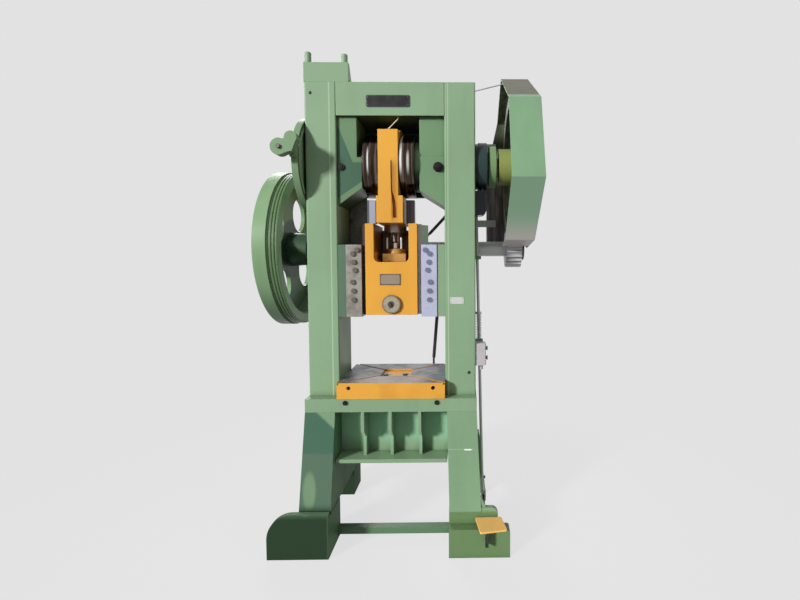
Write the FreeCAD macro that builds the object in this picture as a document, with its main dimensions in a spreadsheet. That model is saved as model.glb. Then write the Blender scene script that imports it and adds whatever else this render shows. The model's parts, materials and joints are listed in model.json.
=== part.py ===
"""Mechanical stamping press with a crank, a back shaft with a flywheel, and a foot pedal.

Frame of the part: X to the right, Y to the back, Z up, all in millimetres. The origin lies on the floor
in the middle of the four anchor bolts. Heights are measured from the floor and x from the middle plane
of the press. Depths are measured from the front face of the pillars, which stands at y = face.
"""
import FreeCAD, Part
import Sketcher
import math
import os
import re

doc = FreeCAD.newDocument("StampingPress")
sheet = doc.addObject("Spreadsheet::Sheet", "Sizes")

# ---------------------------------------------------------------------------------------------
# Driving dimensions: alias, value in mm, meaning
# ---------------------------------------------------------------------------------------------
SIZES = [
    ("face", -240, "y of the pillars' front face in the frame of the part"),
    # fits
    ("run_gap", 0.05, "radial clearance of a running fit"),
    ("seat_gap", 0.1, "clearance of a seated piece"),
    ("side_gap", 0.3, "clearance between faces that pass each other"),
    # pillars, crown and boxes of the main bearings
    ("pillar_in", 260, "inner face of a pillar"),
    ("pillar_out", 410, "outer face of a pillar"),
    ("pillar_deep", 240, "depth of a pillar"),
    ("pillar_round", 7, "rounding of a pillar's upright edges"),
    ("frame_top", 2242, "top of the frame"),
    ("crown_low", 2084, "underside of the crown"),
    ("box_front", 18, "front of the bearing boxes"),
    ("box_back", 222, "back of the bearing boxes"),
    ("box_step", 1890, "height of the left box's shoulder"),
    ("box_bolt_z", 1843, "height of the bolts in the bearing boxes"),
    ("cover_back", 326, "rear face of the cover behind the crank"),
    ("cover_wall", 18, "thickness of the cover behind the crank"),
    ("cover_low", 1735, "lower edge of the cover behind the crank"),
    # bed, bases and tie bar
    ("bed_top", 722, "top of the bed"),
    ("slab_low", 658, "underside of the bed's table slab"),
    ("slab_out", 413, "half width of the table slab"),
    ("bed_front", -60, "front of the bed"),
    ("bed_back", 360, "back of the bed"),
    ("bed_low", 408, "underside of the bed"),
    ("bed_plate", 18, "thickness of the bed's plates"),
    ("bed_wall", 50, "front of the bed's back wall"),
    ("rib_thick", 15, "thickness of a bed rib"),
    ("leg_low", 189, "height at which the legs stand on the feet"),
    ("leg_in_top", 269, "inner face of a leg at the table slab"),
    ("leg_in_low", 281, "inner face of a leg at the foot"),
    ("leg_out_low", 433, "outer face of a leg at the foot"),
    ("leg_front_low", -113, "front of a leg at the foot"),
    ("leg_back_low", 600, "back of a leg at the foot"),
    ("foot_in", 279, "inner face of a foot"),
    ("foot_top", 214, "top of the left front foot"),
    ("foot_out", 565, "outer face of a foot"),
    ("foot_round", 120, "rounding of a foot's outer shoulder"),
    ("flare_top", 360, "height at which a rear foot's flare begins"),
    ("rear_foot_in", 302, "inner face of a rear foot"),
    ("rear_foot_out", 480, "outer face of a rear foot at the floor"),
    ("toe_shoulder", 512, "outer face of the right front foot above its toe"),
    ("toe_round", 12, "rounding of the toe's outer corner"),
    ("foot_wall", 25, "wall of a foot"),
    ("foot_base", 30, "thickness of a foot's base flange"),
    ("front_foot_a", -166, "front of the front feet"),
    ("front_foot_b", 41, "back of the front feet"),
    ("rear_foot_a", 430, "front of the rear feet"),
    ("rear_foot_b", 600, "back of the rear feet"),
    ("toe_step", 56, "depth of the right front foot's low toe"),
    ("toe_high", 134, "height of the right front foot's low toe"),
    ("anchor_x", 360, "anchor bolts, from the middle plane"),
    ("anchor_y", 300, "anchor bolts, from the middle of their rectangle"),
    ("anchor_hole", 15, "radius of an anchor bolt hole"),
    ("tie_front", 0, "front of the tie bar"),
    ("tie_deep", 40, "depth of the tie bar"),
    ("tie_low", 20, "underside of the tie bar"),
    ("tie_high", 33, "height of the tie bar's section"),
    # bolster
    ("bolster_top", 800, "top of the bolster, where a die stands"),
    ("bolster_front", -62, "front of the bolster"),
    ("bolster_back", 358, "back of the bolster"),
    ("recess_half", 75, "half width of the bolster's middle recess"),
    ("recess_front", 75, "front of the bolster's middle recess"),
    ("recess_back", 229, "back of the bolster's middle recess"),
    ("recess_deep", 10, "depth of the bolster's recess and slots"),
    ("slot_wide", 20, "width of the bolster's diagonal slots"),
    # crankshaft and pitman
    ("crank_y", 140, "depth of the crank axis"),
    ("crank_z", 1865, "height of the crank axis"),
    ("pin_lift", 12.5, "offset of the crank pin, and of the sleeve on the pin"),
    ("journal", 60, "radius of the main journals"),
    ("shaft_end", 50, "radius of the crankshaft's ends"),
    ("web", 157, "radius of the crank webs"),
    ("pin", 80, "radius of the crank pin"),
    ("web_left", -134, "left face of the left web"),
    ("pin_left", -62, "left end of the crank pin"),
    ("pin_right", 42, "right end of the crank pin"),
    ("web_right", 112, "right face of the right web"),
    ("sleeve", 112, "outer radius of the eccentric sleeve"),
    ("bush_wall", 12, "wall of the bronze bushes"),
    ("strap", 158, "outer radius of the pitman's strap"),
    ("strap_left", -58, "left face of the pitman's strap"),
    ("strap_right", 38, "right face of the pitman's strap"),
    ("pitman_low", 1570, "underside of the pitman"),
    ("pitman_flat", 2015, "top of the pitman's flat front"),
    ("screw", 30, "radius of the pitman's ball screw"),
    ("screw_neck", 22, "radius of the ball screw's neck"),
    ("ball", 34, "radius of the ball"),
    ("ball_z", 1425, "height of the ball"),
    # slide and its guides
    ("slide_top", 1567, "top of the slide"),
    ("slide_low", 1122, "underside of the slide"),
    ("slide_front", -6, "front of the slide"),
    ("slide_back", 250, "back of the slide"),
    ("slide_half", 126, "half width of the slide's body"),
    ("flange_half", 144.5, "half width of the slide's flange"),
    ("flange_front", 30, "front of the slide's flange"),
    ("flange_back", 226, "back of the slide's flange"),
    ("vee_tip", 172, "half width over the tips of the vee guides"),
    ("vee_y", 112, "depth of the vee guides' tips"),
    ("vee_half", 27.5, "half depth of a vee guide at its root"),
    ("guide_top", 1465, "top of the guides"),
    ("guide_low", 1113, "underside of the guides"),
    ("gib_in", 145, "inner face of a gib"),
    ("gib_out", 221, "outer face of a gib"),
    ("gib_front", -4, "front of a gib"),
    ("throat_half", 85, "half width of the slide's open throat"),
    ("throat_low", 1380, "bottom of the slide's open throat"),
    ("throat_round", 25, "rounding of the throat's lower corners"),
    ("horn_in", 74, "inner faces of the guide bars on the slide's horns"),
    ("shank", 25, "radius of the hole for a tool's shank"),
    ("shank_deep", 80, "depth of the hole for a tool's shank"),
    # drive
    ("gear_module", 8, "module of the gear pair"),
    ("gear_teeth", 88, "teeth of the bull gear"),
    ("pinion_teeth", 23, "teeth of the pinion"),
    ("gear_left", 585, "left face of the bull gear"),
    ("gear_wide", 80, "face width of the bull gear"),
    ("gear_rim", 300, "inner radius of the bull gear's rim"),
    ("shaft_y", "=pillar_deep + 65", "depth of the back shaft"),
    ("back_shaft", 40, "radius of the back shaft"),
    ("wheel", 410, "radius of the flywheel"),
    ("wheel_rim", 60, "thickness of the flywheel's rim"),
    ("wheel_left", -631, "left face of the flywheel"),
    ("wheel_right", -514, "right face of the flywheel"),
    ("belt_left", -566, "left edge of the flywheel's belt grooves"),
    ("wheel_web", -617, "left face of the flywheel's web"),
    ("web_wall", 22, "thickness of the flywheel's web"),
    ("window", 93, "radius of the round windows in the web"),
    ("window_ring", 228, "radius on which the round windows lie"),
    ("groove_count", 3, "fine grooves in the belt band"),
    ("groove_pitch", 15, "distance from groove to groove"),
    ("drum", 215, "radius of the brake drum"),
    ("drum_left", -443, "left face of the brake drum"),
    ("drum_right", -413, "right face of the brake drum"),
    ("lining", 12, "thickness of the brake lining"),
    ("band", 6, "thickness of the brake band"),
    ("lug_front", -150, "front of the brake band's lug"),
    ("lug_deep", 44, "depth of the brake band's lug"),
    ("lobe", 38, "radius of the lug's lower lobe"),
    ("lobe_x", -478, "middle of the lug's lower lobe"),
    ("lobe_z", 1900, "height of the lug's lower lobe"),
    # guard
    ("guard_left", 555, "left edge of the guard's front"),
    ("guard_flare", 490, "left edge of the guard's rear wall"),
    ("guard_right", 700, "outer face of the guard"),
    ("guard_wall", 4, "thickness of the guard's sheet"),
    ("guard_back", 520, "rear face of the guard"),
    # pedal and trip
    ("pedal_x", 457, "middle of the pedal lever"),
    ("pedal_pivot_y", 450, "depth of the pedal's pivot"),
    ("pedal_pivot_z", 90, "height of the pedal's pivot"),
    ("lever_thick", 10, "thickness of the pedal lever"),
    ("lever_high", 30, "height of the pedal lever"),
    ("pedal_low", 161, "underside of the pedal's plate"),
    ("rod_y", 222, "depth of the pull rod"),
    ("rod", 8, "radius of the pull rod"),
    ("spring_low", 964, "foot of the return spring"),
    ("spring_high", 1100, "top of the return spring"),
    ("coil", 13, "mean radius of the return spring"),
    ("coil_wire", 1.75, "radius of the return spring's wire"),
    ("coil_turns", 15, "turns of the return spring"),
    ("rod_low_x", 452, "pull rod's lower end"),
    ("rod_low_z", 115, "height of the pull rod's lower end"),
    ("rod_top_x", 420, "pull rod's upper end"),
    ("latch_z", 1665, "height of the trip latch's pivot"),
    ("rod_top_z", "=latch_z + 9", "height of the pull rod's upper end"),
    ("latch_y", 110, "depth of the trip latch's pivot"),
    ("starter_z", 921, "middle height of the starter box"),
    ("conduit", 6, "radius of the conduit behind the slide"),
]

for row, (alias, value, meaning) in enumerate(SIZES, start=1):
    sheet.set("A%d" % row, alias)
    sheet.set("B%d" % row, str(value))
    sheet.set("C%d" % row, meaning)
    sheet.setAlias("B%d" % row, alias)
doc.recompute()

ALIASES = {alias for alias, value, meaning in SIZES}
SIDES = (("left", -1), ("right", 1))
NODES = []
ROUGH = 100.0  # radius on which an outline's corners lie before they are bound

# Worked out from the driving dimensions
GEAR_GAP = "(gear_module * (gear_teeth + pinion_teeth) / 2)"
SHAFT_Z = "(crank_z - sqrt(%s ^ 2 - (shaft_y - crank_y) ^ 2))" % GEAR_GAP
BUSH_OUT = "(journal + bush_wall)"
STRAP_Z = "(crank_z + 2 * pin_lift)"


# ---------------------------------------------------------------------------------------------
# Helpers
# ---------------------------------------------------------------------------------------------
def size(alias):
    """Value of a driving dimension, for a shape that has no expressions."""
    return float(sheet.get(alias))


def ex(text):
    """Expression text in which the aliases point to the sheet."""
    return re.sub(r"[a-z_][a-z0-9_]*", lambda word: "Sizes." + word.group(0)
                  if word.group(0) in ALIASES else word.group(0), str(text))


def bind(obj, **expressions):
    """Bind properties of an object, with a double underscore for a dot."""
    for name, text in expressions.items():
        obj.setExpression(name.replace("__", "."), ex(text))
    return obj


def put(obj, x, y, z):
    """Place an object, with y measured from the pillars' front face."""
    return bind(obj, Placement__Base__x=x, Placement__Base__y="face + (%s)" % y,
                Placement__Base__z=z)


def made(kind, label):
    obj = doc.addObject(kind, label)
    obj.Label = label
    return obj


def block(label, x, y, z):
    """Box between two places along each axis."""
    box = made("Part::Box", label)
    bind(box, Length="(%s) - (%s)" % (x[1], x[0]), Width="(%s) - (%s)" % (y[1], y[0]),
         Height="(%s) - (%s)" % (z[1], z[0]))
    return put(box, x[0], y[0], z[0])


def turn_to(obj, axis):
    """Turn an object that was made along Z to another axis."""
    if axis == "X":
        obj.Placement.Rotation = FreeCAD.Rotation(FreeCAD.Vector(0, 1, 0), 90)
    if axis == "Y":
        obj.Placement.Rotation = FreeCAD.Rotation(FreeCAD.Vector(1, 0, 0), -90)
    return obj


def start_of(axis, begin, centre):
    """Start point of a round piece whose centre gives the two other coordinates in order."""
    places = list(centre)
    places.insert("XYZ".index(axis), begin)
    return places


def rod(label, axis, span, centre, radius):
    """Cylinder along an axis; centre holds the two other coordinates in order."""
    round_bar = turn_to(made("Part::Cylinder", label), axis)
    bind(round_bar, Radius=radius, Height="(%s) - (%s)" % (span[1], span[0]))
    return put(round_bar, *start_of(axis, span[0], centre))


def hexagon(label, axis, span, centre, across):
    """Hexagonal bar along an axis, given by its width across flats."""
    bar = turn_to(made("Part::Prism", label), axis)
    bar.Polygon = 6
    bind(bar, Circumradius="(%s) / sqrt(3)" % across, Height="(%s) - (%s)" % (span[1], span[0]))
    return put(bar, *start_of(axis, span[0], centre))


def fuse(label, *pieces):
    joined = made("Part::MultiFuse", label)
    joined.Shapes = list(pieces)
    return joined


def cut(label, base, *tools):
    result = made("Part::Cut", label)
    result.Base = base
    result.Tool = tools[0] if len(tools) == 1 else fuse(label + "_tools", *tools)
    return result


def common(label, first, second):
    shared = made("Part::MultiCommon", label)
    shared.Shapes = [first, second]
    return shared


def ring(label, axis, span, centre, outer, inner):
    """Tube along an axis."""
    return cut(label, rod(label + "_outside", axis, span, centre, outer),
               rod(label + "_bore", axis, ("(%s) - 1" % span[0], "(%s) + 1" % span[1]), centre, inner))


def group(label, pieces):
    """Several separate solids that share a node."""
    several = made("Part::Compound", label)
    several.Links = pieces
    return several


def node(piece):
    """Mark an object as a sub-part that is written to a file."""
    NODES.append(piece)
    return piece


def mirrored(sign, first, second):
    """Span from first to second on the right side, or its mirror image on the left."""
    if sign > 0:
        return (first, second)
    return ("-(%s)" % second, "-(%s)" % first)


def sided(sign, value):
    return "%d * (%s)" % (sign, value)


def origin_feature(body, role):
    return next(item for item in body.Origin.OriginFeatures if item.Role == role)


def outline(body, name, plane, points, offset="0"):
    """Closed sketch of straight lines whose corners are bound to expressions."""
    sketch = body.newObject("Sketcher::SketchObject", name)
    sketch.AttachmentSupport = [(origin_feature(body, plane + "_Plane"), "")]
    sketch.MapMode = "FlatFace"
    bind(sketch, AttachmentOffset__Base__z=offset)
    count = len(points)
    rough = [FreeCAD.Vector(ROUGH * math.cos(2 * math.pi * i / count),
                            ROUGH * math.sin(2 * math.pi * i / count), 0) for i in range(count)]
    sketch.addGeometry([Part.LineSegment(rough[i], rough[(i + 1) % count]) for i in range(count)], False)
    for i in range(count):
        sketch.addConstraint(Sketcher.Constraint("Coincident", i, 2, (i + 1) % count, 1))
    for i, (across, along) in enumerate(points):
        for kind, text, value in (("DistanceX", across, rough[i].x), ("DistanceY", along, rough[i].y)):
            index = sketch.addConstraint(Sketcher.Constraint(kind, -1, 1, i, 1, value))
            sketch.setExpression("Constraints[%d]" % index, ex(text))
    return sketch


def round_corners(body, sketch, pad, corners, radius):
    """Round the edges that run through some of a padded outline's corners."""
    doc.recompute()
    names = []
    for corner in corners:
        spot = sketch.getGlobalPlacement().multVec(sketch.Geometry[corner].StartPoint)
        direction = sketch.getGlobalPlacement().Rotation.multVec(FreeCAD.Vector(0, 0, 1))
        for number, edge in enumerate(pad.Shape.Edges, start=1):
            ends = [vertex.Point for vertex in edge.Vertexes]
            if len(ends) != 2 or (ends[1] - ends[0]).cross(direction).Length > 1e-4:
                continue
            if (ends[0] - spot).cross(direction).Length < 1e-3:
                names.append("Edge%d" % number)
    fillet = body.newObject("PartDesign::Fillet", "Rounding")
    fillet.Base = (pad, names)
    bind(fillet, Radius=radius)
    return fillet


def prism(label, plane, points, start, end, corners=(), radius="1"):
    """Padded outline. XZ and YZ outlines hold heights; y is measured from the pillars' front face."""
    body = made("PartDesign::Body", label)
    if plane == "YZ":
        points = [("face + (%s)" % across, along) for across, along in points]
    if plane == "XY":
        points = [(across, "face + (%s)" % along) for across, along in points]
    offset = "-(face + (%s))" % start if plane == "XZ" else start
    sketch = outline(body, label + "_outline", plane, points, offset)
    pad = body.newObject("PartDesign::Pad", label + "_pad")
    pad.Profile = sketch
    pad.Reversed = plane == "XZ"
    bind(pad, Length="(%s) - (%s)" % (end, start))
    if corners:
        round_corners(body, sketch, pad, corners, radius)
    return body


def turned(label, axis, profile, centre):
    """Turned piece: a profile of places along the axis and radii, revolved about that axis."""
    body = made("PartDesign::Body", label)
    plane = {"X": "XY", "Y": "XY", "Z": "XZ"}[axis]
    points = profile if axis == "X" else [(radius, along) for along, radius in profile]
    sketch = outline(body, label + "_profile", plane, points)
    turn = body.newObject("PartDesign::Revolution", label + "_turn")
    turn.Profile = sketch
    turn.ReferenceAxis = (sketch, ["H_Axis" if axis == "X" else "V_Axis"])
    turn.Angle = 360
    return put(body, *start_of(axis, "0" if axis != "Y" else "-face", centre))


def screw_piece(label, axis, face, way, centre, shank, depth, across, head):
    """Hexagon screw: its head stands off a face and its shank goes the other way."""
    if way > 0:
        head_span = (face, "(%s) + %s" % (face, head))
        shank_span = ("(%s) - %s" % (face, depth), face)
    else:
        head_span = ("(%s) - %s" % (face, head), face)
        shank_span = (face, "(%s) + %s" % (face, depth))
    return fuse(label, hexagon(label + "_head", axis, head_span, centre, across),
                rod(label + "_shank", axis, shank_span, centre, shank))


# ---------------------------------------------------------------------------------------------
# Frame: pillars, crown, bearing boxes, bed, bases
# ---------------------------------------------------------------------------------------------
GIB_SCREWS = [(165, 1439, 0), (186, 1421, 1), (182, 1380, 1), (176, 1341, 0),
              (188, 1283, 1), (184, 1240, 1), (184, 1196, 1)]
GIB_SCREW_R = 7
GIB_SCREW_LONG = 160
GIB_SCREW_SHORT = 50


def gib_holes(side, sign):
    """Holes for a gib's through screws and short adjusting screws."""
    holes = []
    for count, (x, z, through) in enumerate(GIB_SCREWS):
        depth = GIB_SCREW_LONG if through else GIB_SCREW_SHORT
        holes.append(rod("%s_gib_hole_%d" % (side, count), "Y",
                         ("gib_front - 2", "gib_front + %g" % (depth + 2)),
                         (sided(sign, x), str(z)), "%g + seat_gap" % GIB_SCREW_R))
    return holes


def pillar(side, sign):
    """Pillar with the rear half of a vee guide welded to its inner face."""
    inside, outside = sided(sign, "pillar_in"), sided(sign, "pillar_out")
    post = prism(side + "_post", "XY",
                 [(inside, "0"), (outside, "0"), (outside, "pillar_deep"), (inside, "pillar_deep")],
                 "bed_top", "frame_top", corners=(0, 1, 2, 3), radius="pillar_round")
    rail = prism(side + "_rail", "XY",
                 [(sided(sign, "pillar_in + 1"), "2"), (sided(sign, "gib_out + seat_gap"), "2"),
                  (sided(sign, "gib_out + seat_gap"), "vee_y + seat_gap"),
                  (sided(sign, "vee_tip"), "vee_y + seat_gap"),
                  (sided(sign, "gib_in"), "vee_y + vee_half"),
                  (sided(sign, "gib_in"), "flange_back"),
                  (sided(sign, "pillar_in + 1"), "flange_back")], "guide_low", "guide_top")
    bore = rod(side + "_post_bore", "X", mirrored(sign, "pillar_in - 1", "pillar_out + 1"),
               ("crank_y", "crank_z"), BUSH_OUT + " + seat_gap")
    pieces = [post, rail] + (rod_guides() if side == "right" else [])
    return cut(side + "_pillar", fuse(side + "_pillar_raw", *pieces), bore, *gib_holes(side, sign))


def bearing_boxes():
    """Two boxes that hang from the crown and hold the main bushes between the pillars."""
    left = prism("left_box_body", "XZ",
                 [("-pillar_in", "crown_low"), ("-166", "crown_low"), ("-166", "box_step"),
                  ("-142", "box_step"), ("-142", "1742"), ("-pillar_in", "1657")],
                 "box_front", "box_back")
    right = prism("right_box_body", "XZ",
                  [("pillar_in", "crown_low"), ("138", "crown_low"), ("138", "1728"),
                   ("pillar_in", "1652")], "box_front + 8", "box_back")
    pad = prism("right_box_pad", "XZ",
                [("pillar_in", "1893"), ("138", "1893"), ("138", "1728"), ("pillar_in", "1652")],
                "box_front", "box_front + 8")
    boss = rod("right_box_boss", "X", ("web_right + 1", "139"), ("crank_y", "crank_z"), "125")
    for side, sign, body in (("left", -1, left), ("right", 1, fuse("right_box_raw", right, pad, boss))):
        bore = rod(side + "_box_bore", "X", mirrored(sign, "web_right", "pillar_in + 1"),
                   ("crank_y", "crank_z"), BUSH_OUT + " + seat_gap")
        node(cut(side + "_bearing_box", body, bore))


def box_bolts():
    """Bolt and nut in the fronts of the bearing boxes."""
    left = fuse("left_box_bolt", rod("left_box_bolt_head", "Y", ("box_front - 9", "box_front"),
                                     ("-243", "box_bolt_z"), "17"),
                hexagon("left_box_bolt_key", "Y", ("box_front - 13", "box_front - 8"), ("-243", "box_bolt_z"), "17"))
    right = fuse("right_box_bolt", rod("right_box_washer", "Y", ("box_front - 4", "box_front"),
                                       ("229", "box_bolt_z"), "24"),
                 hexagon("right_box_nut", "Y", ("box_front - 20", "box_front - 4"), ("229", "box_bolt_z"), "36"),
                 rod("right_box_stud", "Y", ("box_front - 30", "box_front - 19"), ("229", "box_bolt_z"), "11"))
    return [left, right]


def bed():
    """Cast bed: table slab, back wall, floor plate and ribs, open to the front."""
    slab = block("bed_slab", ("-slab_out", "slab_out"), ("bed_front", "bed_back"), ("slab_low", "bed_top"))
    wall = block("bed_back_wall", ("-leg_in_top", "leg_in_top"), ("bed_wall", "bed_wall + bed_plate"),
                 ("bed_low", "slab_low"))
    floor = block("bed_floor", ("-leg_in_top", "leg_in_top"), ("bed_front", "bed_wall"),
                  ("bed_low", "bed_low + bed_plate"))
    pieces = [slab, wall, floor]
    for count, x in enumerate((-138, -5, 137)):
        front = [("bed_front", "slab_low"), ("bed_front", "558"), ("bed_front + 24", "550"),
                 ("bed_front + 24", "534"), ("bed_front + 54", "526"),
                 ("bed_front + 54", "bed_low + bed_plate"), ("bed_wall", "bed_low + bed_plate"),
                 ("bed_wall", "slab_low")]
        back = [("bed_wall + bed_plate", "slab_low"), ("bed_wall + bed_plate", "bed_low + 30"),
                ("bed_back - 30", "slab_low - 20"), ("bed_back - 30", "slab_low")]
        for place, points in (("front", front), ("back", back)):
            pieces.append(prism("bed_%s_rib_%d" % (place, count), "YZ", points,
                                "%g - rib_thick / 2" % x, "%g + rib_thick / 2" % x))
    holes = [rod("bed_bolt_hole_%d" % sign, "Y", ("bed_front - 1", "bed_front + 41"),
                 (str(220 * sign), "704"), "8 + seat_gap") for side, sign in SIDES]
    return cut("bed", fuse("bed_raw", *pieces), *holes)


def foot_wall_piece(label, sign, outside, low, high, span, radius):
    """Upright wall of a foot with a rounded outer shoulder."""
    return prism(label, "XZ", [(sided(sign, "foot_in"), low), (sided(sign, outside), low),
                               (sided(sign, outside), high), (sided(sign, "foot_in"), high)],
                 span[0], span[1], corners=(2,), radius=radius)


def front_foot(side, sign):
    """Front foot: base flange, front wall with a rounded shoulder, inner wall and the hollow root of the leg."""
    flange = block(side + "_front_flange", mirrored(sign, "foot_in", "foot_out"),
                   ("front_foot_a", "front_foot_b"), ("0", "foot_base"))
    inner = block(side + "_front_inner", mirrored(sign, "foot_in", "foot_in + foot_wall"),
                  ("front_foot_a", "front_foot_b"), ("0", "leg_low" if side == "left" else "toe_high"))
    root = cut(side + "_leg_root",
               block(side + "_leg_root_block", mirrored(sign, "leg_in_low", "leg_out_low"),
                     ("leg_front_low + 8", "front_foot_b"), ("foot_base - 1", "leg_low + 1")),
               block(side + "_leg_root_hollow", mirrored(sign, "leg_in_low + foot_wall", "leg_out_low - foot_wall"),
                     ("leg_front_low + 8 + foot_wall", "front_foot_b + 1"), ("foot_base", "leg_low - foot_wall")))
    if side == "left":
        wall = foot_wall_piece("left_front_wall", sign, "foot_out", "0", "foot_top",
                               ("front_foot_a", "front_foot_a + foot_wall"), "foot_round")
        return [flange, inner, root, wall]
    toe = cut("toe", foot_wall_piece("toe_outside", sign, "foot_out", "0", "toe_high",
                                     ("front_foot_a", "front_foot_a + toe_step + 1"), "toe_round"),
              block("toe_hollow", ("foot_in + foot_wall", "foot_out - foot_wall"),
                    ("front_foot_a + foot_wall", "front_foot_a + toe_step + 2"),
                    ("foot_base", "toe_high - foot_wall")))
    wall = foot_wall_piece("toe_wall", sign, "toe_shoulder", "0", "foot_top - 6",
                           ("front_foot_a + toe_step", "front_foot_a + toe_step + foot_wall"), "30")
    web = prism("toe_gusset", "XZ", [("leg_out_low - 2", "foot_top - 8"), ("leg_out_low + 24", "foot_top - 8"),
                                     ("leg_out_low - 6", "foot_top + 50")],
                "front_foot_a + toe_step + 4", "front_foot_a + toe_step + foot_wall - 4")
    return [flange, inner, root, wall, toe, web]


def rear_foot(side, sign):
    """Rear foot: a flared block under the leg's rear edge, hollow behind the anchor bolt."""
    across = prism(side + "_rear_front", "XZ",
                   [(sided(sign, "rear_foot_in"), "0"), (sided(sign, "rear_foot_out"), "0"),
                    (sided(sign, "leg_out_low + 10"), "flare_top"), (sided(sign, "rear_foot_in"), "flare_top")],
                   "rear_foot_a - 1", "rear_foot_b + 1")
    along = prism(side + "_rear_side", "YZ",
                  [("rear_foot_a", "0"), ("rear_foot_b", "0"), ("rear_foot_b", "leg_low"),
                   ("rear_foot_b - 88", "flare_top"), ("rear_foot_a", "flare_top")],
                  *mirrored(sign, "rear_foot_in - 20", "rear_foot_out + 20"))
    hollow = block(side + "_rear_hollow", mirrored(sign, "rear_foot_in + foot_wall", "anchor_x + 56"),
                   ("rear_foot_a + foot_wall", "rear_foot_b + 1"), ("foot_base", "leg_low - foot_wall"))
    return common(side + "_rear_foot", across, along), hollow


def base(side, sign):
    """Cast base of one side: a tapered leg on a front and a rear foot, with an arch between them."""
    across = prism(side + "_leg_front", "XZ",
                   [(sided(sign, "leg_in_top"), "slab_low"), (sided(sign, "slab_out"), "slab_low"),
                    (sided(sign, "leg_out_low"), "leg_low"), (sided(sign, "leg_in_low"), "leg_low")],
                   "leg_front_low - 10", "leg_back_low + 10")
    along = prism(side + "_leg_side", "YZ",
                  [("bed_front", "slab_low"), ("bed_back", "slab_low"), ("leg_back_low", "leg_low"),
                   ("leg_front_low", "leg_low")], *mirrored(sign, "leg_in_top - 60", "leg_out_low + 60"))
    leg = common(side + "_leg", across, along)
    rear, rear_hollow = rear_foot(side, sign)
    pieces = [leg, rear] + front_foot(side, sign)
    tools = [rod("%s_anchor_%s" % (side, place), "Z", ("-1", "foot_base + 1"),
                 (sided(sign, "anchor_x"), "%s - face" % y), "anchor_hole")
             for place, y in (("front", "-anchor_y"), ("rear", "anchor_y"))] + [rear_hollow]
    if side == "right":
        tools.append(block("lever_slot", ("pedal_x - lever_thick / 2 - 2", "pedal_x + lever_thick / 2 + 2"),
                           ("front_foot_a - 1", "front_foot_a + toe_step + foot_wall + 1"), ("47", "109")))
        tools.append(block("pivot_slot", ("pedal_x - lever_thick / 2 - 1", "pedal_x + lever_thick / 2 + 1"),
                           ("rear_foot_a - 1", "pedal_pivot_y + 30"), ("foot_base", "pedal_pivot_z + 30")))
        tools.append(rod("pivot_hole", "X", ("pedal_x - 29", "rear_foot_out + 1"),
                         ("pedal_pivot_y", "pedal_pivot_z"), "8 + run_gap"))
    return cut(side + "_base", fuse(side + "_base_raw", *pieces), *tools)


def crown():
    """Crown between the pillars, with a cover behind the crank that hangs from its rear edge."""
    beam = block("crown_beam", ("-pillar_in", "pillar_in"), ("0", "pillar_deep"), ("crown_low", "frame_top"))
    roof = block("crown_roof", ("-pillar_in", "pillar_in"), ("pillar_deep - 1", "cover_back"),
                 ("crown_low", "crown_low + cover_wall"))
    back = block("crown_cover", ("-pillar_in", "pillar_in"), ("cover_back - cover_wall", "cover_back"),
                 ("cover_low", "crown_low + 1"))
    return fuse("crown", beam, roof, back)


def frame():
    for side, sign in SIDES:
        node(pillar(side, sign))
        node(base(side, sign))
    node(crown())
    bearing_boxes()
    node(bed())
    node(block("tie_bar", ("-foot_in", "foot_in"), ("tie_front", "tie_front + tie_deep"),
               ("tie_low", "tie_low + tie_high")))
    bushes = [ring(side + "_main_bush", "X", mirrored(sign, first, "pillar_out"),
                   ("crank_y", "crank_z"), BUSH_OUT, "journal + run_gap")
              for side, sign, first in (("left", -1, "142"), ("right", 1, "web_right + 1"))]
    node(group("main_bushes", bushes))


def motor_bracket():
    """Angle bracket on the left pillar's top, with a side gusset."""
    left, right, plate_top, plate = "-pillar_out - 1", "-197.5", "2334", 8
    front = block("bracket_front", (left, right), ("0", str(plate)), ("frame_top", plate_top))
    sole = block("bracket_sole", (left, right), ("0", "pillar_deep"), ("frame_top", "frame_top + %d" % plate))
    gusset = prism("bracket_gusset", "YZ",
                   [(str(plate), "frame_top + %d" % plate), ("72", "frame_top + %d" % plate),
                    ("22", plate_top), (str(plate), plate_top)], "%s - 6" % right, right)
    angle = fuse("motor_angle", front, sole, gusset)
    studs = [fuse("motor_stud_%d" % count,
                  rod("stud_bar_%d" % count, "Z", ("frame_top + %d" % plate, top), (x, "26"), "11"),
                  hexagon("stud_nut_%d" % count, "Z", ("frame_top + %d" % plate, "frame_top + 26"),
                          (x, "26"), "28"))
             for count, (x, top) in enumerate((("-396", "2390"), ("-221", "2381")))]
    node(group("motor_bracket", [angle] + studs))


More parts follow.
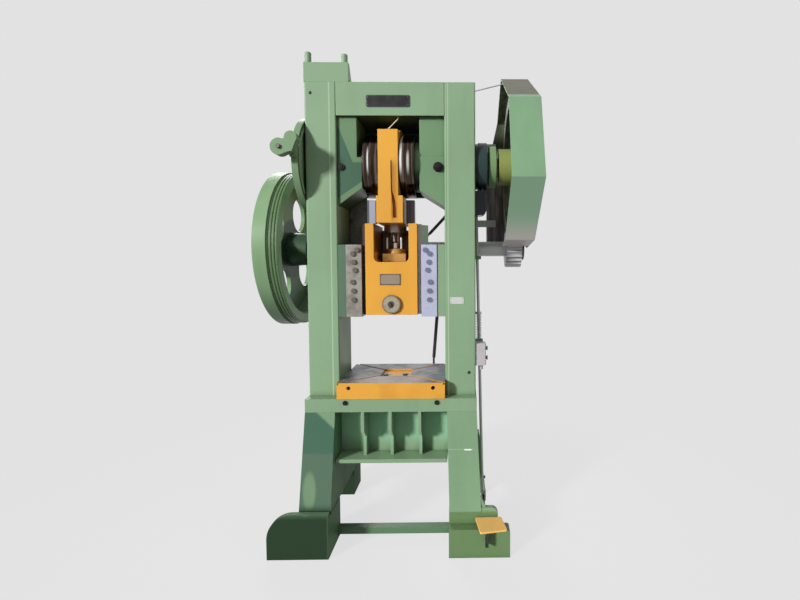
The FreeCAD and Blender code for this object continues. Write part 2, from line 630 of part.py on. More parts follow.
def bolster():
    """Bolster plate with a middle recess and four diagonal slots."""
    plate = block("bolster_plate", ("-pillar_in + side_gap", "pillar_in - side_gap"),
                  ("bolster_front", "bolster_back"), ("bed_top", "bolster_top"))
    floor = "bolster_top - recess_deep"
    tools = [block("bolster_recess", ("-recess_half", "recess_half"), ("recess_front", "recess_back"),
                   (floor, "bolster_top + 1"))]
    middle = "(recess_front + recess_back) / 2"
    half_x, half_y = "(pillar_in + 20)", "((bolster_back - bolster_front) / 2 + 20)"
    for count, (sx, sy) in enumerate(((1, 1), (1, -1))):
        ends = [("%d * %s" % (sx * k, half_x), "%s + %d * %s" % (middle, sy * k, half_y)) for k in (-1, 1)]
        step = "slot_wide * %d" % sy
        points = [("%s - slot_wide / 2" % ends[0][0], ends[0][1]), ("%s + slot_wide / 2" % ends[0][0], ends[0][1]),
                  ("%s + slot_wide / 2" % ends[1][0], ends[1][1]), ("%s - slot_wide / 2" % ends[1][0], ends[1][1])]
        tools.append(prism("bolster_slot_%d" % count, "XY", points, floor, "bolster_top + 1"))
    for sign in (-1, 1):
        tools.append(rod("bolster_eye_%d" % sign, "Y", ("bolster_front - 1", "bolster_front + 40"),
                         (str(203 * sign), "774.5"), "9.5"))
    places = [("-55.5", "127.6"), ("44.7", "133.8")]
    for count, (x, y) in enumerate(places):
        tools.append(rod("bolster_bore_%d" % count, "Z", ("bolster_top - 42", "bolster_top"), (x, y),
                         "8 + seat_gap"))
    node(cut("bolster", plate, *tools))
    screws = [fuse("bolster_screw_%d" % count,
                   rod("bolster_screw_head_%d" % count, "Z", (floor, "bolster_top - 2"), (x, y), "13"),
                   rod("bolster_screw_bar_%d" % count, "Z", (floor + " - 30", floor), (x, y), "8"))
              for count, (x, y) in enumerate(places)]
    node(group("bolster_screws", screws))


def guides():
    """Front gibs and their screws."""
    screws = []
    for side, sign in SIDES:
        gib = prism(side + "_gib_bar", "XY",
                    [(sided(sign, "gib_in"), "gib_front"), (sided(sign, "gib_out"), "gib_front"),
                     (sided(sign, "gib_out"), "vee_y"), (sided(sign, "vee_tip"), "vee_y"),
                     (sided(sign, "gib_in"), "vee_y - vee_half")], "guide_low", "guide_top")
        holes = [rod("%s_gib_bore_%d" % (side, count), "Y",
                     ("gib_front - 2", "vee_y + 2" if through else "gib_front + %g" % (GIB_SCREW_SHORT + 1)),
                     (sided(sign, x), str(z)), "%g + seat_gap" % GIB_SCREW_R)
                 for count, (x, z, through) in enumerate(GIB_SCREWS)]
        node(cut(side + "_gib", gib, *holes))
        for count, (x, z, through) in enumerate(GIB_SCREWS):
            screws.append(screw_piece("%s_gib_screw_%d" % (side, count), "Y", "gib_front", -1,
                                      (sided(sign, x), str(z)), str(GIB_SCREW_R),
                                      GIB_SCREW_LONG if through else GIB_SCREW_SHORT, 22, 10))
    node(group("gib_screws", screws))


def bed_bolts():
    """Screws in the front of the bed."""
    return [screw_piece(side + "_bed_bolt", "Y", "bed_front", -1, (str(220 * sign), "704"), "8", 38, 20, 8)
            for side, sign in SIDES]


def plates():
    """Blank plates on the crown and the right pillar."""
    crown_plate = prism("crown_plate", "XZ", [("-114", "2124"), ("96", "2124"), ("96", "2180"), ("-114", "2180")],
                        "-3", "0", corners=(0, 1, 2, 3), radius="8")
    node(crown_plate)
    node(block("pillar_plate", ("285", "353"), ("-2", "0"), ("1174", "1208")))


# ---------------------------------------------------------------------------------------------
# Crankshaft, sleeve and pitman
# ---------------------------------------------------------------------------------------------
def crankshaft():
    """Crankshaft with two round webs and an eccentric pin, in one forging."""
    shaft = turned("crank_shaft_bar", "X", [
        ("drum_left - 1", "0"), ("drum_left - 1", "shaft_end"), ("-pillar_out + 2", "shaft_end"),
        ("-pillar_out + 2", "journal"), ("web_left", "journal"), ("web_left", "web"), ("pin_left", "web"),
        ("pin_left", "journal - 5"), ("pin_right", "journal - 5"), ("pin_right", "web"), ("web_right", "web"),
        ("web_right", "journal"), ("pillar_out - 2", "journal"), ("pillar_out - 2", "shaft_end"),
        ("gear_left + gear_wide + 24", "shaft_end"), ("gear_left + gear_wide + 24", "0")],
        ("crank_y", "crank_z"))
    pin = rod("crank_pin", "X", ("pin_left - 1", "pin_right + 1"), ("crank_y", "crank_z + pin_lift"), "pin")
    node(fuse("crankshaft", shaft, pin))
    hub = "shaft_end + seat_gap"
    node(turned("brake_drum", "X", [
        ("drum_left", hub), ("drum_left", "85"), ("drum_left + 8", "90"), ("drum_left + 8", "drum - 22"),
        ("drum_left", "drum - 18"), ("drum_left", "drum"), ("drum_right", "drum"), ("drum_right", "drum - 18"),
        ("drum_right - 8", "drum - 22"), ("drum_right - 8", "90"), ("drum_right", "85"), ("drum_right", hub)],
        ("crank_y", "crank_z")))
    node(turned("clutch_collar", "X", [
        ("pillar_out + 4", hub), ("pillar_out + 4", "112"), ("pillar_out + 16", "112"), ("pillar_out + 16", "122"),
        ("470", "122"), ("470", hub)], ("crank_y", "crank_z")))
    node(turned("clutch_disc", "X", [
        ("470 + side_gap", hub), ("470 + side_gap", "80"), ("480", "80"), ("480", "105"), ("516", "105"),
        ("516", hub)], ("crank_y", "crank_z")))
    node(ring("end_collar", "X", ("gear_left + gear_wide + 2", "gear_left + gear_wide + 20"),
              ("crank_y", "crank_z"), "72", hub))


def pitman_front():
    """Flat front of the pitman with a narrow groove that opens into a pocket."""
    front = block("pitman_front", ("strap_left", "strap_right"), ("crank_y - strap", "crank_y"),
                  ("pitman_low + 20", "pitman_flat"))
    groove = prism("pitman_groove", "XZ",
                   [("3", "crank_z + 2"), ("8", "crank_z + 2"), ("9", "pitman_low + 156"),
                    ("32", "pitman_low + 82"), ("32", "pitman_low + 24"), ("12", "pitman_low + 24"),
                    ("12", "pitman_low + 75"), ("4", "pitman_low + 156")],
                   "crank_y - strap - 1", "crank_y - strap + 14")
    return front, groove


def sleeve_and_pitman():
    """Eccentric sleeve on the crank pin, and the pitman that it drives."""
    inside = ("pin_left + side_gap", "pin_right - side_gap")
    outer = rod("sleeve_outside", "X", inside, ("crank_y", STRAP_Z), "sleeve")
    bore = rod("sleeve_bore", "X", ("pin_left - 1", "pin_right + 1"), ("crank_y", "crank_z + pin_lift"),
               "pin + run_gap")
    node(cut("eccentric_sleeve", outer, bore))
    bush_out = "(sleeve + bush_wall)"
    node(ring("pitman_bush", "X", ("strap_left", "strap_right"), ("crank_y", STRAP_Z), bush_out,
              "sleeve + run_gap"))
    strap = rod("pitman_strap", "X", ("strap_left", "strap_right"), ("crank_y", STRAP_Z), "strap")
    neck = prism("pitman_neck", "YZ", [("crank_y - 95", STRAP_Z + " - 120"), ("crank_y + 95", STRAP_Z + " - 120"),
                                       ("crank_y + 70", "pitman_low + 60"), ("crank_y - 70", "pitman_low + 60")],
                 "strap_left", "strap_right")
    foot_block = block("pitman_foot", ("-68", "60"), ("crank_y - strap", "crank_y + 98"),
                       ("pitman_low", "1700"))
    front, groove = pitman_front()
    tools = [rod("pitman_bore", "X", ("strap_left - 1", "strap_right + 1"), ("crank_y", STRAP_Z),
                 bush_out + " + seat_gap"),
             rod("pitman_screw_bore", "Z", ("pitman_low - 1", "1692"), ("0", "crank_y"), "screw + run_gap")]
    node(cut("pitman", fuse("pitman_raw", strap, neck, foot_block, front), groove, *tools))
    node(ring("lock_collar", "Z", ("pitman_low - 40", "pitman_low - side_gap"), ("0", "crank_y"), "58",
              "screw + seat_gap"))


def ball_screw():
    """Adjusting screw with a ball at its foot."""
    bar = turned("screw_bar", "Z", [("ball_z", "0"), ("ball_z", "screw_neck"), ("1478", "screw_neck"),
                                    ("1486", "screw"), ("1688", "screw"), ("1688", "0")], ("0", "crank_y"))
    ball = made("Part::Sphere", "screw_ball")
    bind(ball, Radius="ball")
    put(ball, "0", "crank_y", "ball_z")
    return fuse("ball_screw", bar, ball)


# ---------------------------------------------------------------------------------------------
# Slide
# ---------------------------------------------------------------------------------------------
def slide():
    """Cast slide with vee guides, an open throat for the screw and a bore for a tool's shank."""
    half = [("slide_half", "slide_front"), ("slide_half", "flange_front"), ("flange_half", "flange_front"),
            ("flange_half", "vee_y - vee_half + 0.5"), ("vee_tip - 0.5", "vee_y"),
            ("flange_half", "vee_y + vee_half - 0.5"), ("flange_half", "flange_back"),
            ("slide_half", "flange_back"), ("slide_half", "slide_back")]
    points = half + [("-(%s)" % x, y) for x, y in reversed(half)]
    body = prism("slide_body", "XY", points, "slide_low", "slide_top")
    throat = prism("slide_throat", "XZ",
                   [("-throat_half", "throat_low"), ("throat_half", "throat_low"),
                    ("throat_half", "slide_top + 1"), ("-throat_half", "slide_top + 1")],
                   "slide_front - 1", "slide_back + 1", corners=(0, 1), radius="throat_round")
    bore = rod("shank_bore", "Z", ("slide_low - 1", "slide_low + shank_deep"), ("0", "crank_y"), "shank")
    clamp_hole = rod("clamp_hole", "Y", ("slide_front - 1", "slide_front + 80"), ("-12", "1172"),
                     "8 + seat_gap")
    return cut("slide", body, throat, bore, clamp_hole)


def slide_pieces():
    node(slide())
    node(block("slide_plate", ("-56", "45"), ("slide_front - 2", "slide_front"), ("1268", "1322")))
    seat = block("seat_block", ("-58", "58"), ("crank_y - 55", "crank_y + 55"), ("throat_low", "ball_z - 2"))
    hollow = made("Part::Sphere", "seat_hollow")
    bind(hollow, Radius="ball + run_gap")
    put(hollow, "0", "crank_y", "ball_z")
    node(cut("ball_seat", seat, hollow))
    cap = turned("cap_ring", "Z", [("ball_z - 2 + seat_gap", "0"), ("ball_z - 2 + seat_gap", "56"),
                                   ("ball_z + 22", "50"), ("ball_z + 22", "0")], ("0", "crank_y"))
    cap_hollow = made("Part::Sphere", "cap_hollow")
    bind(cap_hollow, Radius="ball + run_gap")
    put(cap_hollow, "0", "crank_y", "ball_z")
    neck = rod("cap_neck", "Z", ("ball_z", "ball_z + 30"), ("0", "crank_y"), "screw_neck + 4")
    node(cut("ball_cap", cap, cap_hollow, neck))
    disc = cut("clamp_disc_bored", rod("clamp_disc", "Y", ("slide_front - 14", "slide_front"),
                                       ("0", "1175"), "45"),
               rod("clamp_disc_bore", "Y", ("slide_front - 15", "slide_front + 1"), ("-12", "1172"),
                   "8 + seat_gap"))
    bolt = screw_piece("clamp_bolt", "Y", "slide_front - 14", -1, ("-12", "1172"), "8", 70, 24, 12)
    node(group("shank_clamp", [disc, bolt]))


# ---------------------------------------------------------------------------------------------
# Drive: gears, back shaft, flywheel, brake
# ---------------------------------------------------------------------------------------------
PRESSURE = math.radians(20)
THINNING = 0.3


def tooth_half(teeth, module, radius):
    """Half angle of a tooth at a radius, from its involute flank."""
    pitch = module * teeth / 2
    base_circle = pitch * math.cos(PRESSURE)
    angle = math.acos(min(1.0, base_circle / radius))
    return (math.pi / (2 * teeth) - THINNING / pitch + math.tan(PRESSURE) - PRESSURE
            - math.tan(angle) + angle)


def toothed_disc(label, teeth_name, left, wide, bore, turn, centre_y, centre_z):
    """Gear blank with involute-like teeth around the X axis."""
    module, teeth = size("gear_module"), int(size(teeth_name))
    pitch = module * teeth / 2
    steps = (pitch - 1.25 * module, pitch - 0.4 * module, pitch + 0.35 * module, pitch + module)
    points = []
    for tooth in range(teeth):
        middle = turn + 2 * math.pi * tooth / teeth
        for way, radii in ((-1, steps), (1, reversed(steps))):
            for radius in radii:
                angle = middle + way * tooth_half(teeth, module, max(radius, pitch * math.cos(PRESSURE)))
                points.append(FreeCAD.Vector(left, radius * math.cos(angle), radius * math.sin(angle)))
    face_shape = Part.Face(Part.makePolygon(points + [points[0]]))
    solid = face_shape.extrude(FreeCAD.Vector(wide, 0, 0))
    hole = Part.makeCylinder(bore, wide + 2, FreeCAD.Vector(left - 1, 0, 0), FreeCAD.Vector(1, 0, 0))
    gear = made("Part::Feature", label)
    gear.Shape = solid.cut(hole)
    gear.Placement.Base = FreeCAD.Vector(0, size("face") + centre_y, centre_z)
    return gear


def gears():
    """Bull gear on the crankshaft and pinion on the back shaft, with teeth that mesh."""
    distance = size("gear_module") * (size("gear_teeth") + size("pinion_teeth")) / 2
    shaft_z = size("crank_z") - math.sqrt(distance ** 2 - (size("shaft_y") - size("crank_y")) ** 2)
    line = math.atan2(shaft_z - size("crank_z"), size("shaft_y") - size("crank_y"))
    gap_turn = line + math.pi / size("gear_teeth")
    rim = toothed_disc("gear_rim", "gear_teeth", size("gear_left"), size("gear_wide"), size("gear_rim"), gap_turn,
                       size("crank_y"), size("crank_z"))
    web = turned("gear_web", "X", [
        ("530", "shaft_end + 8 + seat_gap"), ("530", "92"), ("gear_left + 28", "92"), ("gear_left + 28", "gear_rim + 1"),
        ("gear_left + gear_wide - 28", "gear_rim + 1"), ("gear_left + gear_wide - 28", "92"),
        ("gear_left + gear_wide", "92"), ("gear_left + gear_wide", "shaft_end + 8 + seat_gap")],
        ("crank_y", "crank_z"))
    holes = []
    for count in range(6):
        angle = 60 * count
        holes.append(rod("gear_window_%d" % count, "X", ("gear_left", "gear_left + gear_wide"),
                         ("crank_y + 196 * cos(%d)" % angle, "crank_z + 196 * sin(%d)" % angle), "62"))
    node(cut("bull_gear", fuse("gear_raw", rim, web), *holes))
    node(ring("gear_bush", "X", ("530", "gear_left + gear_wide"), ("crank_y", "crank_z"), "shaft_end + 8",
              "shaft_end + run_gap"))
    pinion = toothed_disc("pinion", "pinion_teeth", size("gear_left") - 2, size("gear_wide") + 4,
                          size("back_shaft") + size("seat_gap"), line + math.pi, size("shaft_y"), shaft_z)
    node(pinion)


def wheel_windows():
    """Round windows in the flywheel's web."""
    return [rod("flywheel_window_%d" % count, "X", ("wheel_web - 1", "wheel_web + web_wall + 1"),
                ("shaft_y + window_ring * cos(%d)" % angle, "%s + window_ring * sin(%d)" % (SHAFT_Z, angle)),
                "window") for count, angle in enumerate((-121, -31, 59, 149))]


def flywheel():
    """Flywheel with a plain band, a belt band with fine grooves, and a deep web with round windows."""
    hub = "back_shaft + seat_gap"
    rim_in = "wheel - wheel_rim"
    profile = [("wheel_web", hub), ("wheel_web", rim_in + " - 4"), ("wheel_left", rim_in + " + 2"),
               ("wheel_left", "wheel - 4"), ("wheel_left + 4", "wheel"), ("belt_left", "wheel"),
               ("belt_left", "wheel - 6")]
    for count in range(int(size("groove_count"))):
        middle = "belt_left + groove_pitch * %g" % (count + 0.6)
        profile += [("%s - 3" % middle, "wheel - 6"), ("%s - 1" % middle, "wheel - 11"),
                    ("%s + 1" % middle, "wheel - 11"), ("%s + 3" % middle, "wheel - 6")]
    profile += [("wheel_right - 3", "wheel - 6"), ("wheel_right", "wheel - 9"), ("wheel_right", rim_in + " + 2"),
                ("wheel_web + web_wall", rim_in + " - 4"), ("wheel_web + web_wall", "92"),
                ("wheel_right + 24", "86"), ("wheel_right + 24", hub)]
    blank = turned("flywheel_blank", "X", profile, ("shaft_y", SHAFT_Z))
    node(cut("flywheel", blank, *wheel_windows()))


def back_shaft():
    node(rod("back_shaft", "X", ("wheel_web - 20", "gear_left + gear_wide + 20"), ("shaft_y", SHAFT_Z),
             "back_shaft"))
    hub = "back_shaft + seat_gap"
    collars = [ring("wheel_nut", "X", ("wheel_web - 17", "wheel_web - side_gap"), ("shaft_y", SHAFT_Z), "62", hub),
               ring("pinion_nut", "X", ("gear_left + gear_wide + 3", "gear_left + gear_wide + 18"),
                    ("shaft_y", SHAFT_Z), "60", hub)]
    node(group("shaft_collars", collars))
    blocks = []
    bushes = []
    bolts = bed_bolts() + box_bolts()
    for side, sign in SIDES:
        span = mirrored(sign, "pillar_in + 22", "pillar_out - 22")
        bushes.append(ring(side + "_shaft_bush", "X", span, ("shaft_y", SHAFT_Z), "back_shaft + 9",
                           "back_shaft + run_gap"))
        sole = block(side + "_pillow_sole", span, ("pillar_deep", "pillar_deep + 22"),
                     (SHAFT_Z + " - 125", SHAFT_Z + " + 125"))
        body = block(side + "_pillow_body", span, ("pillar_deep + 21", "shaft_y"),
                     (SHAFT_Z + " - 62", SHAFT_Z + " + 62"))
        barrel = rod(side + "_pillow_barrel", "X", span, ("shaft_y", SHAFT_Z), "62")
        bore = rod(side + "_pillow_bore", "X", mirrored(sign, "pillar_in + 21", "pillar_out - 21"), ("shaft_y", SHAFT_Z),
                   "back_shaft + 9 + seat_gap")
        tools = [bore]
        for count, (x, lift) in enumerate((("pillar_in + 45", -100), ("pillar_out - 45", -100),
                                           ("pillar_in + 45", 100), ("pillar_out - 45", 100))):
            centre = (sided(sign, x), "%s + (%d)" % (SHAFT_Z, lift))
            tools.append(rod("%s_pillow_hole_%d" % (side, count), "Y", ("pillar_deep - 1", "pillar_deep + 23"),
                             centre, "9"))
            bolts.append(fuse("%s_pillow_bolt_%d" % (side, count),
                              hexagon("%s_pillow_head_%d" % (side, count), "Y",
                                      ("pillar_deep + 22", "pillar_deep + 33"), centre, "26"),
                              rod("%s_pillow_bar_%d" % (side, count), "Y",
                                  ("pillar_deep", "pillar_deep + 22"), centre, "8")))
        blocks.append(cut(side + "_pillow_block", fuse(side + "_pillow_raw", sole, body, barrel), *tools))
    node(group("pillow_blocks", blocks))
    node(group("shaft_bushes", bushes))
    node(group("frame_bolts", bolts))


def brake():
    """Band brake on the crankshaft's left end."""
    centre = ("crank_y", "crank_z")
    span = ("drum_left", "drum_right")
    inner = "drum + side_gap"
    gap = prism("lining_gap", "YZ", [("crank_y", "crank_z"), ("crank_y - 400", "crank_z + 30"),
                                     ("crank_y - 400", "crank_z + 190")],
                "drum_left - 5", "drum_right + 5")
    node(cut("brake_lining", ring("lining_ring", "X", span, centre, "drum + lining", inner), gap))
    band_in = "drum + lining + seat_gap"
    strap = ring("band_ring", "X", span, centre, "drum + lining + band", band_in)
    band_gap = prism("band_gap", "YZ", [("crank_y", "crank_z"), ("crank_y - 400", "crank_z + 90"),
                                        ("crank_y - 400", "crank_z + 180")],
                     "drum_left - 5", "drum_right + 5")
    lug = ("lug_front", "lug_front + lug_deep")
    low_lobe = rod("lobe_low", "Y", lug, ("lobe_x", "lobe_z"), "lobe")
    top_lobe = rod("lobe_top", "Y", lug, ("lobe_x + 54", "lobe_z + 40"), "lobe - 9")
    joint = prism("lobe_joint", "XZ", [("lobe_x + 8", "lobe_z - 34"), ("lobe_x + 60", "lobe_z - 20"),
                                       ("lobe_x + 78", "lobe_z + 26"), ("lobe_x + 30", "lobe_z + 40"),
                                       ("lobe_x + 8", "lobe_z + 26")], *lug)
    tail = block("lobe_tail", span, ("lug_front + lug_deep - 6", "lug_front + lug_deep + 22"),
                 ("lobe_z - 36", "lobe_z + 20"))
    bore = rod("lobe_bore", "Y", ("lug_front - 1", "lug_front + lug_deep + 1"), ("lobe_x", "lobe_z"), "10")
    head = block("lobe_head", span, ("lug_front + lug_deep - 6", "lug_front + lug_deep + 40"),
                 ("lobe_z + 50", "lobe_z + 68"))
    anchor = block("band_anchor", ("drum_left", "-pillar_out"), ("crank_y - 20", "crank_y + 20"),
                   ("crank_z + drum + lining", "crank_z + drum + lining + 36"))
    opened = fuse("band_open", cut("band_cut", strap, band_gap), low_lobe, top_lobe, joint, tail, head, anchor)
    node(cut("brake_band", opened, rod("band_clear", "X", ("drum_left - 6", "drum_right + 6"), centre, band_in),
             bore))
    node(fuse("brake_bolt", rod("brake_bolt_bar", "Y", ("lug_front - 10", "lug_front + lug_deep + 16"),
                                ("lobe_x", "lobe_z"), "9.9"),
              hexagon("brake_bolt_nut", "Y", ("lug_front + lug_deep", "lug_front + lug_deep + 12"),
                      ("lobe_x", "lobe_z"), "30")))


# ---------------------------------------------------------------------------------------------
# Guard
# ---------------------------------------------------------------------------------------------
def guard():
    """Sheet guard around the gears, open towards the frame and under the pinion."""
    points = [("-300", "1737"), ("-170", "2114"), ("262", "2362"), ("guard_back", "2200"),
              ("guard_back", "1500"), ("255", "1457"), ("-3", "1487")]
    shell = prism("guard_blank", "YZ", points, "guard_flare", "guard_right")
    doc.recompute()
    blank = shell.Tip
    open_face = next("Face%d" % number for number, face in enumerate(blank.Shape.Faces, start=1)
                     if abs(face.CenterOfMass.x - size("guard_flare")) < 0.01)
    hollow = shell.newObject("PartDesign::Thickness", "guard_hollow")
    hollow.Base = (blank, [open_face])
    hollow.Reversed = True
    hollow.Mode = 0
    hollow.Join = 1
    bind(hollow, Value="guard_wall")
    front_cut = block("guard_front_cut", ("guard_flare - 1", "guard_left"), ("-320", "guard_back - 40"),
                      ("1400", "2400"))
    flare_cut = prism("guard_flare_cut", "XZ",
                      [("guard_flare - 1", "1905"), ("guard_left", "2205"), ("guard_left", "2400"),
                       ("guard_flare - 1", "2400")], "guard_back - 41", "guard_back + 1")
    pinion_cut = block("guard_pinion_cut", ("guard_flare - 1", "guard_right - guard_wall"), ("196", "416"),
                       ("1440", "1496"))
    node(cut("guard", shell, front_cut, flare_cut, pinion_cut))
    arms = []
    for count, low in enumerate((1590, 2040)):
        arms.append(prism("guard_arm_%d" % count, "XY",
                          [("300", "pillar_deep"), ("390", "pillar_deep"),
                           ("390", "guard_back - guard_wall - 10"),
                           ("545", "guard_back - guard_wall - 10"),
                           ("545", "guard_back - guard_wall"), ("380", "guard_back - guard_wall"),
                           ("380", "pillar_deep + 10"), ("300", "pillar_deep + 10")],
                          str(low), str(low + 40)))
    node(group("guard_arms", arms))


# ---------------------------------------------------------------------------------------------
# Pedal, pull rod, trip latch and starter box
# ---------------------------------------------------------------------------------------------
def pedal():
    """Pedal lever with its plate; it turns about a pin at the right rear foot."""
    low, high = "pedal_pivot_z - lever_high / 2", "pedal_pivot_z + lever_high / 2"
    bar = prism("lever_bar", "YZ", [("pedal_pivot_y + 16", low), ("pedal_pivot_y + 16", high), ("-178", high),
                                    ("-178", "pedal_low"), ("-208", "pedal_low"), ("-208", low)],
                "pedal_x - lever_thick / 2", "pedal_x + lever_thick / 2")
    eye = rod("lever_eye", "X", ("pedal_x - lever_thick / 2 - 1", "pedal_x + lever_thick / 2 + 1"),
              ("pedal_pivot_y", "pedal_pivot_z"), "8 + run_gap")
    rod_eye = rod("lever_rod_eye", "X", ("pedal_x - lever_thick / 2 - 1", "pedal_x + lever_thick / 2 + 1"),
                  ("rod_y", "pedal_pivot_z"), "6 + 1")
    node(cut("pedal_lever", bar, eye, rod_eye))
    node(prism("pedal_plate", "XY", [("403", "-124"), ("526", "-121"), ("546", "-226"), ("423", "-246")],
               "pedal_low", "pedal_low + 9", corners=(0, 1, 2, 3), radius="6"))
    pins = [rod("pedal_pin", "X", ("pedal_x - 28", "pedal_x + 22"), ("pedal_pivot_y", "pedal_pivot_z"), "8"),
            rod("latch_pin", "X", ("pillar_out", "pillar_out + 58"), ("latch_y", "latch_z"), "7")]
    node(group("lever_pins", pins))


def rod_x(height):
    """Place of the leaning pull rod at a height, as an expression."""
    return "(rod_low_x + (rod_top_x - rod_low_x) * (%s - rod_low_z) / (rod_top_z - rod_low_z))" % height


def rod_guides():
    """Drilled blocks welded to the right pillar, which guide the pull rod."""
    clips = []
    for count, height in enumerate(("spring_low - 9", "spring_low + 440")):
        spot = rod_x(height)
        clips.append(cut("rod_clip_%d" % count,
                         block("rod_clip_block_%d" % count, ("pillar_out - 1", spot + " + 20"),
                               ("rod_y - 16", "rod_y + 16"), (height + " - 9", height + " + 9")),
                         rod("rod_clip_bore_%d" % count, "Z", (height + " - 10", height + " + 10"),
                             (spot, "rod_y"), "rod + 1")))
    return clips


def biarc(start, start_way, end, end_way):
    """Two arcs that join in one tangent, between two points with given directions."""
    chord = end - start
    both = start_way + end_way
    spread = 2 * (1 - start_way.dot(end_way))
    reach = (-chord.dot(both) + math.sqrt(chord.dot(both) ** 2 + spread * chord.dot(chord))) / spread
    middle = (start + end + (start_way - end_way) * reach) * 0.5
    arcs = []
    for first, corner, last in ((start, start + start_way * reach, middle), (middle, end - end_way * reach, end)):
        half = (last - first).Length / 2
        level = (first + last) * 0.5
        lean = half / reach
        arcs.append(Part.Arc(first, level + (corner - level) * (lean / (1 + lean)), last).toShape())
    return arcs


def coil(label, centre_x, centre_y, low, high, radius, wire, turns):
    """Open coil spring: one unbroken tube on biarcs of a quarter turn."""
    parts_of_turn = 4
    rise = (high - low - 2 * wire) / turns
    spots = []
    for count in range(turns * parts_of_turn + 1):
        angle = 2 * math.pi * count / parts_of_turn
        spot = FreeCAD.Vector(centre_x + radius * math.cos(angle), centre_y + radius * math.sin(angle),
                              low + wire + rise * count / parts_of_turn)
        way = FreeCAD.Vector(-radius * math.sin(angle), radius * math.cos(angle), rise / (2 * math.pi))
        spots.append((spot, way.normalize()))
    edges = []
    for (start, start_way), (end, end_way) in zip(spots, spots[1:]):
        edges += biarc(start, start_way, end, end_way)
    path = Part.Wire(edges)
    round_wire = Part.Wire(Part.makeCircle(wire, spots[0][0], spots[0][1]))
    spring = made("Part::Feature", label)
    spring.Shape = path.makePipeShell([round_wire], True, False)
    turn = parts_of_turn * 6
    along = path.discretize(Number=turn * turns + 1)
    gap = min((a - b).Length for i, a in enumerate(along) for b in along[i + turn // 2 + 1:i + turn * 2])
    print("coil: least gap to itself %.2f mm, volume %.4f of section times length" % (
        gap - 2 * wire, spring.Shape.Volume / (math.pi * wire ** 2 * path.Length)))
    return spring


def pull_rod():
    """Leaning pull rod between the pedal lever and the trip latch, with a collar for its spring."""
    bar = made("Part::Cylinder", "pull_rod_bar")
    run, rise = "(rod_low_x - rod_top_x)", "(rod_top_z - rod_low_z)"
    bar.Placement.Rotation = FreeCAD.Rotation(FreeCAD.Vector(0, -1, 0), 1)
    bind(bar, Radius="rod", Height="sqrt(%s ^ 2 + %s ^ 2)" % (run, rise),
         Placement__Rotation__Angle="atan2(%s; %s)" % (run, rise))
    put(bar, "rod_low_x", "rod_y", "rod_low_z")
    collar = rod("rod_collar", "Z", ("spring_high", "spring_high + 12"), (rod_x("spring_high"), "rod_y"), "16")
    low, high = "pedal_pivot_z - lever_high / 2", "pedal_pivot_z + lever_high / 2"
    fork = cut("rod_fork", block("rod_fork_block", ("pedal_x - 13", "pedal_x + 13"), ("rod_y - 12", "rod_y + 12"),
                                 (low + " - 4", "rod_low_z + 12")),
               block("rod_fork_gap", ("pedal_x - lever_thick / 2 - 1", "pedal_x + lever_thick / 2 + 1"),
                     ("rod_y - 13", "rod_y + 13"), (low + " - 5", high + " + 3")))
    fork_pin = rod("rod_fork_pin", "X", ("pedal_x - 14", "pedal_x + 14"), ("rod_y", "pedal_pivot_z"), "6")
    top_pin = rod("rod_top_pin", "X", ("rod_top_x", "rod_top_x + 28"), ("rod_y", "rod_top_z - 9"), "5")
    node(fuse("pull_rod", bar, collar, fork, fork_pin, top_pin))
    middle = size("rod_low_x") + (size("rod_top_x") - size("rod_low_x")) * (
        (size("spring_low") + size("spring_high")) / 2 - size("rod_low_z")) / (size("rod_top_z") - size("rod_low_z"))
    node(coil("return_spring", middle, size("face") + size("rod_y"), size("spring_low") + size("seat_gap"),
              size("spring_high") - size("seat_gap"), size("coil"), size("coil_wire"), int(size("coil_turns"))))


def trip_latch():
    """Latch under the clutch collar, in a closed housing with a round bottom on the right pillar."""
    front, back = "latch_y - 42", "latch_y + 46"
    outside = "pillar_out + 58"
    case = prism("latch_case", "XZ", [("pillar_out", "latch_z + 72"), ("pillar_out", "latch_z - 50"),
                                      (outside, "latch_z - 50"), (outside, "latch_z + 72")],
                 front, back, corners=(2,), radius="30")
    hollow = block("latch_hollow", ("pillar_out + 12", outside + " - 12"), (front + " + 6", back + " + 1"),
                   ("latch_z - 33", "latch_z + 80"))
    dip = rod("latch_dip", "X", ("pillar_out - 1", outside + " + 1"), ("crank_y", "crank_z"), "128")
    pin_hole = rod("latch_pin_hole", "X", ("pillar_out - 1", outside + " + 1"), ("latch_y", "latch_z"),
                   "7 + run_gap")
    node(cut("latch_housing", case, hollow, dip, pin_hole))
    body = prism("latch_body", "YZ", [("latch_y - 20", "latch_z - 16"), ("rod_y + 14", "latch_z - 13"),
                                      ("rod_y + 14", "latch_z + 13"), ("latch_y + 18", "latch_z + 15"),
                                      ("latch_y + 14", "latch_z + 77"), ("latch_y - 14", "latch_z + 77")],
                 "rod_top_x + 13", "rod_top_x + 25")
    eye = rod("latch_eye", "X", ("rod_top_x + 12", "rod_top_x + 26"), ("latch_y", "latch_z"), "7 + run_gap")
    rod_eye = rod("latch_rod_eye", "X", ("rod_top_x + 12", "rod_top_x + 26"), ("rod_y", "rod_top_z - 9"), "5 + 1")
    node(cut("trip_latch", body, eye, rod_eye))


